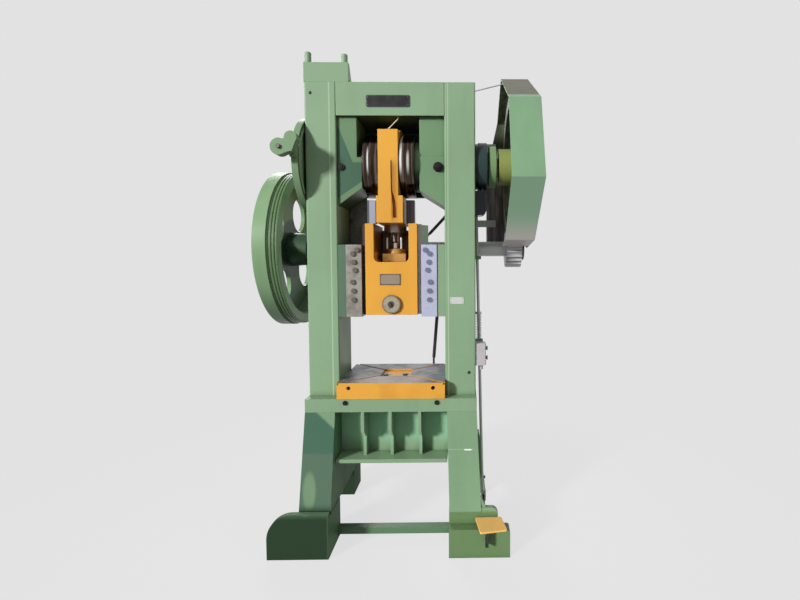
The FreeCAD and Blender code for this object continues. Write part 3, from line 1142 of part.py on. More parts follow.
def starter():
    """Starter box on the right pillar's outer face with two sprung push buttons."""
    places = (("start_button", "starter_z + 27"), ("stop_button", "starter_z - 21"))
    face_x = "pillar_out + 48"
    case = block("starter_case", ("pillar_out", face_x), ("10", "70"), ("starter_z - 55", "starter_z + 55"))
    pockets = [rod(label + "_pocket", "X", (face_x + " - 15", face_x + " + 1"), ("40", z), "9")
               for label, z in places]
    gland = rod("starter_neck", "Z", ("starter_z - 78", "starter_z - 54"), ("pillar_out + 26", "40"), "12")
    node(fuse("starter_box", cut("starter_case_cut", case, *pockets), gland))
    cover = block("starter_cover_plate", (face_x, face_x + " + 3"), ("13", "67"),
                  ("starter_z - 52", "starter_z + 52"))
    holes = [rod(label + "_hole", "X", (face_x + " - 1", face_x + " + 4"), ("40", z), "7 + side_gap")
             for label, z in places]
    node(cut("starter_cover", cover, *holes))
    for label, z in places:
        node(fuse(label, rod(label + "_stem", "X", (face_x + " - 9", face_x + " + 8"), ("40", z), "7"),
                  rod(label + "_cap", "X", (face_x + " + 7", face_x + " + 13"), ("40", z), "11")))


def guide_bars():
    """Two steel bars on the slide's horns that keep the pitman's foot in line."""
    bars = [block(side + "_guide_bar", mirrored(sign, "horn_in", "horn_in + 40"),
                  ("slide_front + 1", "slide_front + 45"), ("slide_top", "slide_top + 112"))
            for side, sign in SIDES]
    node(group("guide_bars", bars))


def pipe(label, radius, bend, points):
    """Rigid pipe: straight runs joined by tangent arcs."""
    spots = [FreeCAD.Vector(x, size("face") + y, z) for x, y, z in points]
    edges = []
    last = spots[0]
    for before, corner, after in zip(spots, spots[1:], spots[2:]):
        come, go = (corner - before).normalize(), (after - corner).normalize()
        half = math.acos(max(-1.0, min(1.0, come.dot(go)))) / 2
        trim = bend * math.tan(half)
        first, end = corner - come * trim, corner + go * trim
        level = (first + end) * 0.5
        lean = math.cos(half)
        edges.append(Part.makeLine(last, first))
        edges.append(Part.Arc(first, level + (corner - level) * (lean / (1 + lean)), end).toShape())
        last = end
    edges.append(Part.makeLine(last, spots[-1]))
    path = Part.Wire(edges)
    section = Part.Wire(Part.makeCircle(radius, spots[0], spots[1] - spots[0]))
    tube = made("Part::Feature", label)
    tube.Shape = path.makePipeShell([section], True, False)
    print("%s: volume %.4f of section times length" % (
        label, tube.Shape.Volume / (math.pi * radius ** 2 * path.Length)))
    return tube


def pipes():
    """Conduit behind the slide and a thin oil pipe under the crown."""
    deep, slab = size("pillar_deep"), size("bed_back")
    back = slab + 25
    x = size("pillar_in") + 22
    top = size("slide_top") + 108
    conduit = pipe("conduit", size("conduit"), 20, [
        (x, deep, top), (x, back, top), (x - 150, back, top - 160), (x - 78, back, top - 540),
        (x - 104, back, size("bed_top") + 100), (x - 104, back, size("bed_top") - 30),
        (x - 104, slab, size("bed_top") - 30)])
    under = size("crown_low")
    oil = pipe("oil_pipe", 2.5, 8, [(35, 24, under), (35, 24, under - 9), (-16, 24, under - 60)])
    node(group("lube_lines", [conduit, oil]))


frame()
motor_bracket()
bolster()
guides()
plates()
crankshaft()
sleeve_and_pitman()
node(ball_screw())
slide_pieces()
gears()
flywheel()
back_shaft()
brake()
guard()
pedal()
pull_rod()
trip_latch()
starter()
guide_bars()
pipes()

doc.recompute()

# ---------------------------------------------------------------------------------------------
# Checks and files
# ---------------------------------------------------------------------------------------------
for item in doc.Objects:
    if "Invalid" in item.State or "Error" in item.State:
        raise RuntimeError("%s has failed: %s" % (item.Label, item.State))
for piece in NODES:
    if piece.Shape.isNull() or not piece.Shape.isValid() or not piece.Shape.Solids:
        raise RuntimeError("%s has no valid solid" % piece.Label)

os.makedirs("parts", exist_ok=True)
for piece in NODES:
    piece.Shape.exportStep("parts/%s.step" % piece.Label)
    box = piece.Shape.BoundBox
    print("%-18s solids %2d  x %7.1f %7.1f  y %7.1f %7.1f  z %7.1f %7.1f  litres %6.2f" % (
        piece.Label, len(piece.Shape.Solids), box.XMin, box.XMax, box.YMin, box.YMax, box.ZMin, box.ZMax,
        piece.Shape.Volume / 1e6))
print("nodes", len(NODES))
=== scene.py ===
"""Mechanical stamping press: finishes, small pieces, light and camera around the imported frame."""
import json
import math

import bmesh
import bpy
from mathutils import Matrix, Vector

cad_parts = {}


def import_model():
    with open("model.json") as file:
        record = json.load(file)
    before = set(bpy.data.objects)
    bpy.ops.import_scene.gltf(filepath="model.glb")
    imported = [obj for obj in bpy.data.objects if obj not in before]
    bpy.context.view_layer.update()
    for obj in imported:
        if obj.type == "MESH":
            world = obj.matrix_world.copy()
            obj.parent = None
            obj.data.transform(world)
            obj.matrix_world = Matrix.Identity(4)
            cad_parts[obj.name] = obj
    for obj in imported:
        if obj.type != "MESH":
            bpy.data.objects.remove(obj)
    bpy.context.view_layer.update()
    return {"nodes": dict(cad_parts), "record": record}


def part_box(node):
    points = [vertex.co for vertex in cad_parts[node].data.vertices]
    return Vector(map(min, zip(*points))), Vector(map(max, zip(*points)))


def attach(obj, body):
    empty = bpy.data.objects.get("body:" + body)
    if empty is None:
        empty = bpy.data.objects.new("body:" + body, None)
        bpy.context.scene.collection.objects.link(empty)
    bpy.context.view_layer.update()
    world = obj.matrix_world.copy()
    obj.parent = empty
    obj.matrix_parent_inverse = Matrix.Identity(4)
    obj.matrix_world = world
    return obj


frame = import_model()

# ---------------------------------------------------------------------------------------------
# Places, in metres: x and z as on the press, depths measured from the pillars' front face
# ---------------------------------------------------------------------------------------------
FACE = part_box("crown")[0].y
SHAFT_Z = (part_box("back_shaft")[0].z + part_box("back_shaft")[1].z) / 2
# Depth and height of the axes that run along X
SHAFT_AXIS = (0.305, SHAFT_Z)
CRANK_AXIS = (0.14, 1.865)


def at(x, y, z):
    """Point given by its depth behind the pillars' front face."""
    return Vector((x, FACE + y, z))


# ---------------------------------------------------------------------------------------------
# Shader maths
# ---------------------------------------------------------------------------------------------
class Flow:
    """Socket of a material's node tree that can be used in expressions."""

    def __init__(self, finish, socket):
        self.finish = finish
        self.socket = socket

    def math(self, operation, *others):
        return self.finish.math(operation, self, *others)

    def __add__(self, other):
        return self.math("ADD", other)

    def __radd__(self, other):
        return self.math("ADD", other)

    def __sub__(self, other):
        return self.math("SUBTRACT", other)

    def __rsub__(self, other):
        return self.finish.math("SUBTRACT", other, self)

    def __mul__(self, other):
        return self.math("MULTIPLY", other)

    def __rmul__(self, other):
        return self.math("MULTIPLY", other)

    def clamp(self):
        return self.finish.node("ShaderNodeClamp", {}, {"Value": self})["Result"]

    def step(self, low, high):
        """Smooth rise from 0 at low to 1 at high."""
        return self.finish.node("ShaderNodeMapRange", {"interpolation_type": "SMOOTHSTEP"},
                                {"Value": self, "From Min": low, "From Max": high})["Result"]


class Sockets:
    """Outputs of a node by name."""

    def __init__(self, finish, made):
        self.finish = finish
        self.made = made

    def __getitem__(self, name):
        return Flow(self.finish, self.made.outputs[name])


class Finish:
    """A material with a Principled shader and the nodes that vary it."""

    def __init__(self, name):
        self.material = bpy.data.materials.new(name)
        self.material.use_nodes = True
        self.tree = self.material.node_tree
        self.shader = self.tree.nodes["Principled BSDF"]
        self.place = self.node("ShaderNodeTexCoord", {}, {})["Object"]

    def node(self, kind, settings, values):
        """New node with its settings, then the numbers or links of its sockets."""
        made = self.tree.nodes.new(kind)
        for name, value in settings.items():
            setattr(made, name, value)
        for name, value in values.items():
            socket = made.inputs[name]
            if isinstance(value, Flow):
                self.tree.links.new(value.socket, socket)
            else:
                socket.default_value = value
        return Sockets(self, made)

    def math(self, operation, *terms):
        made = self.tree.nodes.new("ShaderNodeMath")
        made.operation = operation
        for socket, term in zip(made.inputs, terms):
            if isinstance(term, Flow):
                self.tree.links.new(term.socket, socket)
            else:
                socket.default_value = term
        return Flow(self, made.outputs["Value"])

    def noise(self, scale, detail=3.0, stretch=(1, 1, 1), rough=0.5):
        place = self.node("ShaderNodeMapping", {}, {"Vector": self.place, "Scale": stretch})["Vector"]
        return self.node("ShaderNodeTexNoise", {},
                         {"Vector": place, "Scale": scale, "Detail": detail, "Roughness": rough})["Fac"]

    def blend(self, factor, first, second):
        """Colour between two colours."""
        made = self.tree.nodes.new("ShaderNodeMix")
        made.data_type = "RGBA"
        for socket, term in ((made.inputs[0], factor), (made.inputs[6], first), (made.inputs[7], second)):
            if isinstance(term, Flow):
                self.tree.links.new(term.socket, socket)
            else:
                socket.default_value = term if socket.type == "VALUE" else (*term, 1.0)
        return Flow(self, made.outputs[2])

    def vector(self, operation, first, second, output="Vector"):
        made = self.tree.nodes.new("ShaderNodeVectorMath")
        made.operation = operation
        for socket, term in zip(made.inputs, (first, second)):
            if isinstance(term, Flow):
                self.tree.links.new(term.socket, socket)
            else:
                socket.default_value = term
        return Flow(self, made.outputs[output])

    def along(self, axis):
        """Coordinate of the place on the press, in metres; Y is counted from the pillars' face."""
        place = self.node("ShaderNodeSeparateXYZ", {}, {"Vector": self.place})[axis]
        return place - FACE if axis == "Y" else place

    def window(self, axis, low, high, soft=0.001):
        """1 between two places along an axis, 0 outside them."""
        place = self.along(axis)
        return place.step(low - soft, low + soft) * (1 - place.step(high - soft, high + soft))

    def radius(self, y, z):
        """Distance from an axis that runs along X."""
        from_point = self.vector("SUBTRACT", self.place, (0, FACE + y, z))
        from_axis = self.vector("MULTIPLY", from_point, (0, 1, 1))
        return self.vector("LENGTH", from_axis, (0, 0, 0), "Value")

    def slant(self, x_share, z_share):
        """Place along a direction that leans in the front face, given by its parts in X and Z."""
        return self.along("X") * x_share + self.along("Z") * z_share

    def facing(self, way):
        """How far the surface faces a direction."""
        normal = self.node("ShaderNodeNewGeometry", {}, {})["True Normal"]
        return self.vector("DOT_PRODUCT", normal, way, "Value")

    def edges(self, reach):
        """Softened normal, and a mask that is 1 along sharp outer edges."""
        soft = self.node("ShaderNodeBevel", {"samples": 4}, {"Radius": reach})["Normal"]
        sharp = self.node("ShaderNodeNewGeometry", {}, {})["True Normal"]
        bent = self.vector("DOT_PRODUCT", soft, sharp, "Value")
        return soft, 1 - bent.step(0.8, 0.97)

    def corners(self, reach):
        """Mask that is 1 in tight inner corners."""
        open_share = self.node("ShaderNodeAmbientOcclusion", {"samples": 6}, {"Distance": reach})["AO"]
        return 1 - open_share.step(0.25, 0.8)

    def relief(self, height, strength, distance, under=None):
        """Normal of a bumpy surface, on top of another normal where one is given."""
        values = {"Height": height, "Strength": strength, "Distance": distance}
        if under is not None:
            values["Normal"] = under
        return self.node("ShaderNodeBump", {}, values)["Normal"]

    def feed(self, **values):
        """Set or link the shader's sockets, with an underscore for a blank."""
        for name, value in values.items():
            socket = self.shader.inputs[name.replace("_", " ")]
            if isinstance(value, Flow):
                self.tree.links.new(value.socket, socket)
            elif isinstance(value, tuple):
                socket.default_value = (*value, 1.0)
            else:
                socket.default_value = value
        return self


# ---------------------------------------------------------------------------------------------
# Finishes
# ---------------------------------------------------------------------------------------------
def srgb(red, green, blue):
    """Linear colour from display values of 0 to 255."""
    def linear(value):
        value /= 255
        return value / 12.92 if value <= 0.04045 else ((value + 0.055) / 1.055) ** 2.4
    return (linear(red), linear(green), linear(blue))


def times(colour, factor):
    """Colour made lighter or darker."""
    return tuple(min(1.0, part * factor) for part in colour)


def enamel(name, colour, shade, chip, rough=0.36, extra=None, corner_shade=0.75, gloss=0.25):
    """Brushed enamel: slow changes of tone, runs, greasy spots, painted shade in inner corners, and worn
    edges in a paler tone that also paint pale edge highlights.
    """
    paint = Finish(name)
    tone = paint.noise(1.7, 3).step(0.3, 0.7)
    streak = paint.noise(7.0, 4, (1, 1, 0.16), 0.6).step(0.45, 0.75)
    spots = paint.noise(26.0, 5, rough=0.7).step(0.6, 0.8)
    peel, sag = paint.noise(180.0, 2), paint.noise(14.0, 3, (1, 1, 0.4))
    soft, edge_mask = paint.edges(0.003)
    # Painted shade: tight inner corners darkened, with random greasy spots.
    grease_and_corner_shade = (paint.corners(0.045) * corner_shade + spots * 0.16).clamp()
    # Worn edges in a paler tone, which also paint pale edge highlights.
    worn = edge_mask * paint.noise(40.0, 4, rough=0.7).step(0.42, 0.62)
    body = paint.blend(tone, times(colour, 0.93), times(colour, 1.06))
    body = paint.blend(streak * 0.16, body, shade)
    body = paint.blend(worn * 0.55, body, chip)
    body = paint.blend(grease_and_corner_shade, body, times(shade, 0.45))
    if extra:
        body = extra(paint, body)
    paint.feed(Base_Color=body, Roughness=grease_and_corner_shade * 0.2 + streak * 0.08 + rough, Specular_IOR_Level=gloss,
               Normal=paint.relief(peel * 0.35 + sag, 0.22, 0.0008, soft))
    return paint.material


def bare_steel(name, colour, stain, rough, metallic=0.8, stretch=(1, 1, 40), stained=0.5):
    """Ground steel with fine marks along one direction, oily or rusty stains, painted shade in its corners,
    and edges made paler by wear and by painted highlight.
    """
    steel = Finish(name)
    marks = steel.noise(60.0, 3, stretch)
    blot = steel.noise(11.0, 5, rough=0.65).step(0.4, 0.75)
    soft, edge_mask = steel.edges(0.0015)
    # The stain colour also darkens the corners: painted shade.
    tone = steel.blend((blot * stained + steel.corners(0.02) * 0.4).clamp(), colour, stain)
    # Paler edges: wear and painted highlight.
    tone = steel.blend(edge_mask * 0.4, tone, times(colour, 1.35))
    steel.feed(Base_Color=tone, Metallic=metallic, Roughness=marks * 0.18 + blot * 0.14 + rough,
               Normal=steel.relief(marks, 0.16, 0.0003, soft))
    return steel.material


def plain(name, colour, rough, metallic=0.0):
    """Smooth finish with a faint grain."""
    smooth = Finish(name)
    grain = smooth.noise(60.0, 3)
    dust = smooth.noise(9.0, 4).step(0.5, 0.8)
    tone = smooth.blend(grain, times(colour, 0.86), colour)
    tone = smooth.blend(dust * 0.2, tone, srgb(120, 116, 104))
    smooth.feed(Base_Color=tone, Metallic=metallic, Roughness=grain * 0.12 + rough)
    return smooth.material


GREEN = srgb(136, 165, 131)
BASE_GREEN = srgb(126, 157, 123)
BOX_GREEN = srgb(112, 145, 108)
GREEN_SHADE = srgb(92, 116, 84)
# Pale tones of worn edges, which also paint pale edge highlights.
GREEN_WORN_EDGE_LIGHT = srgb(190, 208, 182)
YELLOW = srgb(227, 165, 63)
YELLOW_SHADE = srgb(178, 112, 42)
# Pale tone of worn yellow edges, also a painted edge highlight.
YELLOW_WORN_EDGE_LIGHT = srgb(246, 200, 120)
# Dark tone for painted shade in corners.
CORNER_SHADE_DARK = srgb(34, 40, 32)


def underside_shade(paint, body, dark=srgb(34, 48, 30)):
    """Painted shade on faces that look downwards."""
    return paint.blend(paint.facing((0, 0, -1)).step(0.15, 0.5) * 0.9, body, dark)


def crown_shade(paint, body):
    """Crown: painted shade on its underside and on all that lies behind the opening."""
    rear = paint.along("Y").step(0.232, 0.238)
    body = paint.blend(rear * (1 - paint.facing((0, 1, 0)).step(0.3, 0.6)), body, srgb(58, 72, 50))
    return underside_shade(paint, body, srgb(58, 72, 50))


def lit_pillar(paint, body):
    """Pillar: a pale line on the front beside the opening, painted olive light on the left pillar's inner
    side, painted shadow beside the left gib.
    """
    pale_line = (paint.window("X", -0.295, -0.289, 0.002) + paint.window("X", 0.274, 0.279, 0.002)).clamp()
    # Painted light: the left pillar's inner side is olive where it is lit.
    inner = paint.facing((1, 0, 0)).step(0.5, 0.8) * paint.window("X", -0.27, -0.1)
    body = paint.blend(inner * 0.5, body, srgb(98, 112, 66))
    # Painted shadow on the left pillar beside the gib.
    oiled = paint.window("X", -0.262, -0.219) * paint.window("Z", 1.11, 1.468)
    body = paint.blend(oiled * 0.75, body, srgb(62, 92, 76))
    return paint.blend(pale_line * paint.facing((0, -1, 0)).step(0.5, 0.9) * 0.5, body, srgb(190, 210, 180))


def leg_shadow_and_foot_shade(paint, body):
    """Left leg: painted shadow down the leg with one painted highlight in it, painted shade on the foot and
    on the inner side.
    """
    x, z = paint.along("X"), paint.along("Z")
    # Painted shadow below a slanted line on the leg.
    leg = 1 - paint.slant(0.676, 0.737).step(0.236, 0.252)
    highlight_x, highlight_z = -0.385, 0.292
    across, up = (x - highlight_x) * 34.0, (z - highlight_z) * 12.0
    # Painted highlight: an oval pale patch that lightens the shadow.
    leg_highlight = 1 - (across * across + up * up).step(0.45, 1.6)
    tone = paint.blend(z.step(0.455, 0.475), srgb(82, 106, 90), srgb(60, 98, 82))
    front = paint.facing((0, -1, 0)).step(0.3, 0.7)
    body = paint.blend(leg * (1 - leg_highlight * 0.75) * (front * 0.56 + 0.3), body, tone)
    # Painted shade on the foot.
    foot = (1 - z.step(0.185, 0.235)) * (1 - x.step(-0.29, -0.27))
    body = paint.blend(foot * 0.94, body, srgb(38, 57, 38))
    # Painted shade: a darker green on the inner side.
    inner = paint.facing((1, 0, 0)).step(0.5, 0.8)
    return paint.blend(inner * 0.6, body, srgb(70, 104, 72))


def toe_shade_and_joint(paint, body):
    """Painted shade on the toe of the right foot, and the leg's joint line with a bare chip."""
    # Painted shade: the toe darker than the leg above it.
    toe = (1 - paint.along("Z").step(0.182, 0.196)) * 0.62
    pale_line = paint.window("Z", 0.4795, 0.4815, 0.0006) * paint.window("X", 0.265, 0.40, 0.01)
    chip = paint.window("Z", 0.4755, 0.4815, 0.0012) * paint.window("X", 0.353, 0.387, 0.003)
    body = paint.blend(toe, body, srgb(88, 116, 58))
    body = paint.blend(pale_line * 0.6, body, srgb(176, 206, 178))
    return paint.blend(chip, body, srgb(238, 244, 236))


def shaded_box(paint, body):
    """Left bearing box: painted shadow on its face beyond a slanted line, leaving its lower rim lit, and
    painted shade underneath.
    """
    above = paint.along("Z").step(1.86, 1.87)
    # Painted shadow beyond a slanted line on the face.
    box_shadow = 1 - paint.slant(0.928, 0.371).step(0.5184, 0.5204) * above
    rim = paint.slant(-0.56, 0.828).step(1.545, 1.55)
    body = paint.blend(box_shadow * rim * 0.9, body, srgb(58, 92, 74))
    return underside_shade(paint, body, srgb(52, 76, 44))


def oily_and_shaded_box(paint, body):
    """Oil thrown by the crank onto the right bearing box, and painted shade underneath."""
    thrown = paint.noise(8.0, 5, rough=0.7).step(0.5, 0.75) * (1 - paint.along("Z").step(1.72, 1.9))
    return underside_shade(paint, paint.blend(thrown * 0.3, body, GREEN_SHADE))


def flywheel_shade(paint, body):
    """Flywheel: painted shade on the belt band and the low rim, painted light and shade on the inner web,
    painted shade on the hub, and random mottling.
    """
    out = paint.radius(*SHAFT_AXIS)
    side = paint.facing((1, 0, 0)).step(0.5, 0.8)
    z = paint.along("Z")
    # Painted shade on the belt band.
    band = paint.along("X").step(-0.567, -0.565) * out.step(0.385, 0.392) * (1 - side)
    body = paint.blend(band * 0.95, body, srgb(94, 120, 84))
    # Painted shade on the lower rim.
    low_rim_shade = out.step(0.39, 0.4) * (1 - z.step(1.05, 1.3))
    body = paint.blend(low_rim_shade * 0.75, body, srgb(44, 66, 48))
    # Painted light and shade on the inner web: pale above, dark below.
    web = (1 - out.step(0.352, 0.36)) * side
    web_light_and_shade = paint.blend(z.step(1.46, 1.5), srgb(56, 84, 68), srgb(164, 180, 110))
    body = paint.blend(web * 0.7, body, web_light_and_shade)
    # Painted shade on the hub.
    hub = 1 - out.step(0.15, 0.17)
    body = paint.blend(hub * 0.85, body, srgb(40, 62, 52))
    return paint.blend(paint.noise(5.0, 3).step(0.5, 0.7) * 0.2, body, srgb(128, 152, 104))


def guard_facets(paint, body):
    """Gear guard: brown on top from dust and painted shade, painted light on the lower front facet, pale
    pinkish grey on its lowest downward faces, and a streaked purple-grey inside that turns dark olive
    towards the top.
    """
    z = paint.along("Z")
    front = paint.facing((0, -1, 0)).step(0.3, 0.5)
    # Brown on top: dust, and painted shade.
    top = z.step(2.13, 2.15) * paint.facing((0, -0.4, 0.92)).step(0.6, 0.75)
    under = paint.facing((0, 0, -1)).step(0.08, 0.16)
    body = paint.blend(top * 0.95, body, srgb(72, 66, 42))
    # Painted light: the lower front facet made paler.
    body = paint.blend(under * front * 0.85, body, srgb(164, 204, 170))
    body = paint.blend(under * (1 - z.step(1.45, 1.62)) * 0.9, body, srgb(232, 216, 216))
    middle = (0.60, FACE + 0.15, 1.88)
    outward = paint.vector("SUBTRACT", paint.place, middle)
    normal = paint.node("ShaderNodeNewGeometry", {}, {})["True Normal"]
    inside = 1 - paint.vector("DOT_PRODUCT", outward, normal, "Value").step(-0.02, 0.02)
    streaks = paint.noise(26.0, 4, (1, 1, 0.1), 0.6).step(0.42, 0.66)
    inside_tone = paint.blend(streaks, srgb(112, 98, 106), srgb(186, 166, 178))
    upper = paint.blend(streaks, srgb(52, 58, 40), srgb(96, 104, 74))
    inside_tone = paint.blend(z.step(1.8, 1.95), inside_tone, upper)
    return paint.blend(inside * 0.94, body, inside_tone)


def bolster_finish():
    """Yellow enamel with painted shade in its corners, and a ground steel top around the slots."""
    plate = Finish("bolster enamel and ground top")
    soft, edge_mask = plate.edges(0.002)
    top = plate.along("Z").step(0.7993, 0.7998) * plate.facing((0, 0, 1)).step(0.5, 0.9)
    blot = plate.noise(12.0, 5, rough=0.7).step(0.4, 0.75)
    paint = plate.blend(plate.noise(6.0, 4).step(0.4, 0.75) * 0.35, YELLOW, YELLOW_SHADE)
    # Painted shade in the corners.
    paint = plate.blend(plate.corners(0.03) * 0.5, paint, srgb(110, 70, 30))
    steel = plate.blend(blot * 0.7, srgb(146, 144, 146), srgb(96, 92, 94))
    middle = plate.window("X", -0.19, 0.16, 0.05)
    dull = (1 - middle) * (1 - plate.noise(7.0, 3).step(0.55, 0.7))
    steel = plate.blend(dull * 0.8, steel, srgb(84, 94, 106))
    # A paler strip across the middle of the top.
    pale_strip = plate.window("Y", -0.07, 0.06, 0.02)
    steel = plate.blend(pale_strip * middle * 0.5, steel, srgb(176, 164, 156))
    worn = (top + edge_mask * plate.noise(30.0, 4).step(0.45, 0.6) * 0.5).clamp()
    plate.feed(Base_Color=plate.blend(worn, paint, steel), Metallic=top * 0.25,
               Roughness=top * 0.18 + blot * 0.12 + 0.4, Specular_IOR_Level=0.3,
               Normal=plate.relief(blot, 0.1, 0.0004, soft))
    return plate.material


def crank_finish():
    """Polished forging: turned bands of oil film, paler bands of painted sheen, and painted glints on the
    webs and along edges.
    """
    steel = Finish("polished crank steel")
    bands = steel.noise(1.0, 3, (95, 3, 3), 0.6)
    # Painted sheen: the paler bands.
    bright = bands.step(0.52, 0.6)
    z = steel.along("Z")
    # Painted glints: bright streaks on the webs' fronts.
    wiped = (steel.window("X", -0.112, -0.105, 0.003) * (1 - z.step(1.89, 1.95))
             + steel.window("X", 0.045, 0.055, 0.003)
             + steel.window("X", 0.079, 0.090, 0.004) * (1 - z.step(1.88, 1.93)) * 0.7).clamp()
    wiped = wiped * z.step(1.79, 1.85) * steel.facing((0, -1, 0)).step(-0.2, 0.3)
    soft, edge_mask = steel.edges(0.003)
    tone = steel.blend(bands.step(0.3, 0.5), srgb(36, 26, 22), srgb(70, 56, 48))
    tone = steel.blend(bright * 0.6, tone, srgb(120, 112, 104))
    # Painted highlights on the glints and along the edges.
    tone = steel.blend((wiped + edge_mask * 0.25).clamp(), tone, srgb(238, 236, 232))
    steel.feed(Base_Color=tone, Metallic=1 - wiped * 0.6, Roughness=bands * 0.2 + 0.1,
               Normal=steel.relief(bands, 0.3, 0.001, soft))
    return steel.material


def gear_finish():
    """Oiled steel teeth with an olive painted hub."""
    steel = Finish("bull gear steel and hub paint")
    hub = 1 - steel.radius(*CRANK_AXIS).step(0.098, 0.104)
    soft = steel.edges(0.002)[0]
    blot = steel.noise(14.0, 4).step(0.4, 0.7)
    tone = steel.blend(blot * 0.6, srgb(112, 120, 96), srgb(64, 66, 54))
    tone = steel.blend(hub, tone, srgb(138, 150, 82))
    steel.feed(Base_Color=tone, Metallic=(1 - hub) * 0.8, Roughness=blot * 0.1 + 0.36,
               Normal=steel.relief(blot, 0.1, 0.0004, soft))
    return steel.material


def pipes_finish():
    """Black conduit and a bright oil pipe."""
    tube = Finish("conduit and oil pipe")
    bright = 1 - tube.along("X").step(0.07, 0.1)
    grain = tube.noise(80.0, 2)
    tube.feed(Base_Color=tube.blend(bright, srgb(28, 28, 30), srgb(226, 214, 190)), Metallic=bright * 0.3,
              Roughness=grain * 0.15 + 0.36)
    return tube.material


def bars_finish():
    """Guide bars: one wiped bright, the other dark with oil."""
    steel = Finish("guide bar steel")
    wiped = 1 - steel.along("X").step(-0.01, 0.01)
    marks = steel.noise(40.0, 3, (1, 1, 20))
    edge = (steel.window("X", -0.116, -0.104, 0.002) + steel.window("X", 0.068, 0.098, 0.003)).clamp()
    tone = steel.blend(wiped, srgb(52, 44, 46), srgb(152, 154, 166))
    tone = steel.blend(edge * 0.8, tone, steel.blend(wiped, srgb(30, 26, 28), srgb(60, 56, 60)))
    steel.feed(Base_Color=tone, Metallic=0.7, Roughness=marks * 0.2 + 0.26)
    return steel.material


def pitman_scoop_shade(paint, body):
    """Pitman: painted shade in a scoop beside the oil groove."""
    scoop = paint.window("X", 0.004, 0.036, 0.004) * paint.window("Z", 1.585, 1.86, 0.03)
    deep = 1 - paint.along("X").step(0.004, 0.04)
    scoop = scoop * paint.facing((0, -1, 0)).step(0.7, 0.9)
    return paint.blend(scoop * (deep * 0.6 + 0.25), body, srgb(158, 96, 34))


def slide_vee_and_throat(paint, body):
    """Slide: ground vee faces at its sides, pale on the right and darkened with painted shade on the left;
    its throat darker brown.
    """
    x = paint.math("ABSOLUTE", paint.along("X"))
    vee = x.step(0.127, 0.1285) * paint.along("Y").step(0.012, 0.014)
    throat = ((1 - x.step(0.094, 0.097)) * paint.along("Y").step(0.004, 0.02)
              * paint.along("Z").step(1.42, 1.44))
    body = paint.blend(throat * 0.85, body, srgb(92, 56, 28))
    right = paint.along("X").step(-0.01, 0.01)
    # The left vee face darkened: painted shade.
    return paint.blend(vee, body, paint.blend(right, srgb(64, 52, 44), srgb(216, 216, 214)))


def clamp_finish():
    """Clamp disc: grey cast face, dark centre bolt, and a darker ring near the rim that is painted shade.
    """
    steel = Finish("clamp disc")
    low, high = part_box("shank_clamp")
    from_middle = steel.vector("SUBTRACT", steel.place, tuple((low + high) / 2))
    flat = steel.vector("MULTIPLY", from_middle, (1, 0, 1))
    out = steel.vector("LENGTH", flat, (0, 0, 0), "Value")
    blot = steel.noise(40.0, 4, rough=0.7).step(0.45, 0.7)
    tone = steel.blend(blot * 0.6, srgb(168, 160, 140), srgb(116, 102, 78))
    # Painted shade: a darker ring near the rim.
    tone = steel.blend(out.step(0.036, 0.041) * 0.6, tone, srgb(92, 74, 44))
    tone = steel.blend((1 - out.step(0.014, 0.017)) * 0.85, tone, srgb(44, 38, 36))
    soft = steel.edges(0.0015)[0]
    steel.feed(Base_Color=tone, Metallic=0.3, Roughness=blot * 0.12 + 0.34,
               Normal=steel.relief(blot, 0.15, 0.0004, soft))
    return steel.material


def screw_finish():
    """Dark oiled bands and pale bands of painted highlight along a polished screw."""
    steel = Finish("banded screw steel with painted highlights")
    bands = steel.noise(1.0, 2, (70, 70, 6), 0.6)
    # Pale bands: painted highlights.
    tone = steel.blend(bands.step(0.46, 0.56), srgb(48, 38, 34), srgb(214, 208, 198))
    soft = steel.edges(0.002)[0]
    steel.feed(Base_Color=tone, Metallic=0.7, Roughness=bands * 0.2 + 0.12,
               Normal=steel.relief(bands, 0.1, 0.0004, soft))
    return steel.material


def gib_screw_finish():
    """Screw heads, stained alike to the gib that they hold, with painted shade in their corners."""
    steel = Finish("gib screw steel")
    right = steel.along("X").step(-0.01, 0.01)
    grain = steel.noise(120.0, 3)
    tone = steel.blend(right, srgb(104, 94, 88), srgb(118, 118, 146))
    # Painted shade in the heads' corners.
    tone = steel.blend(steel.corners(0.006) * 0.6, tone, times(CORNER_SHADE_DARK, 1.2))
    steel.feed(Base_Color=tone, Metallic=0.6, Roughness=grain * 0.15 + 0.3)
    return steel.material


def lit_bed_recess(paint, body):
    """Bed: painted light, a paler bluish green on the rear slab between the ribs."""
    deep = paint.along("Y").step(-0.02, 0.0) * paint.along("Z").step(0.45, 0.52)
    return paint.blend(deep * paint.facing((0, -1, 0)).step(0.5, 0.8) * 0.7, body, srgb(146, 198, 162))


def bordered_plate(name, face, border, box, inset):
    """Blank riveted plate with a rim of another tone; box is its lowest and highest corner."""
    plate = Finish(name)
    low, high = box
    inside = (plate.window("X", low.x + inset, high.x - inset, 0.0004)
              * plate.window("Z", low.z + inset, high.z - inset, 0.0004))
    stain = plate.noise(30.0, 4).step(0.4, 0.75)
    tone = plate.blend(inside, border, face)
    plate.feed(Base_Color=plate.blend(stain * 0.35, tone, times(face, 0.6)), Metallic=0.2,
               Roughness=stain * 0.15 + 0.32, Normal=plate.relief(inside, 0.4, 0.0004))
    return plate.material


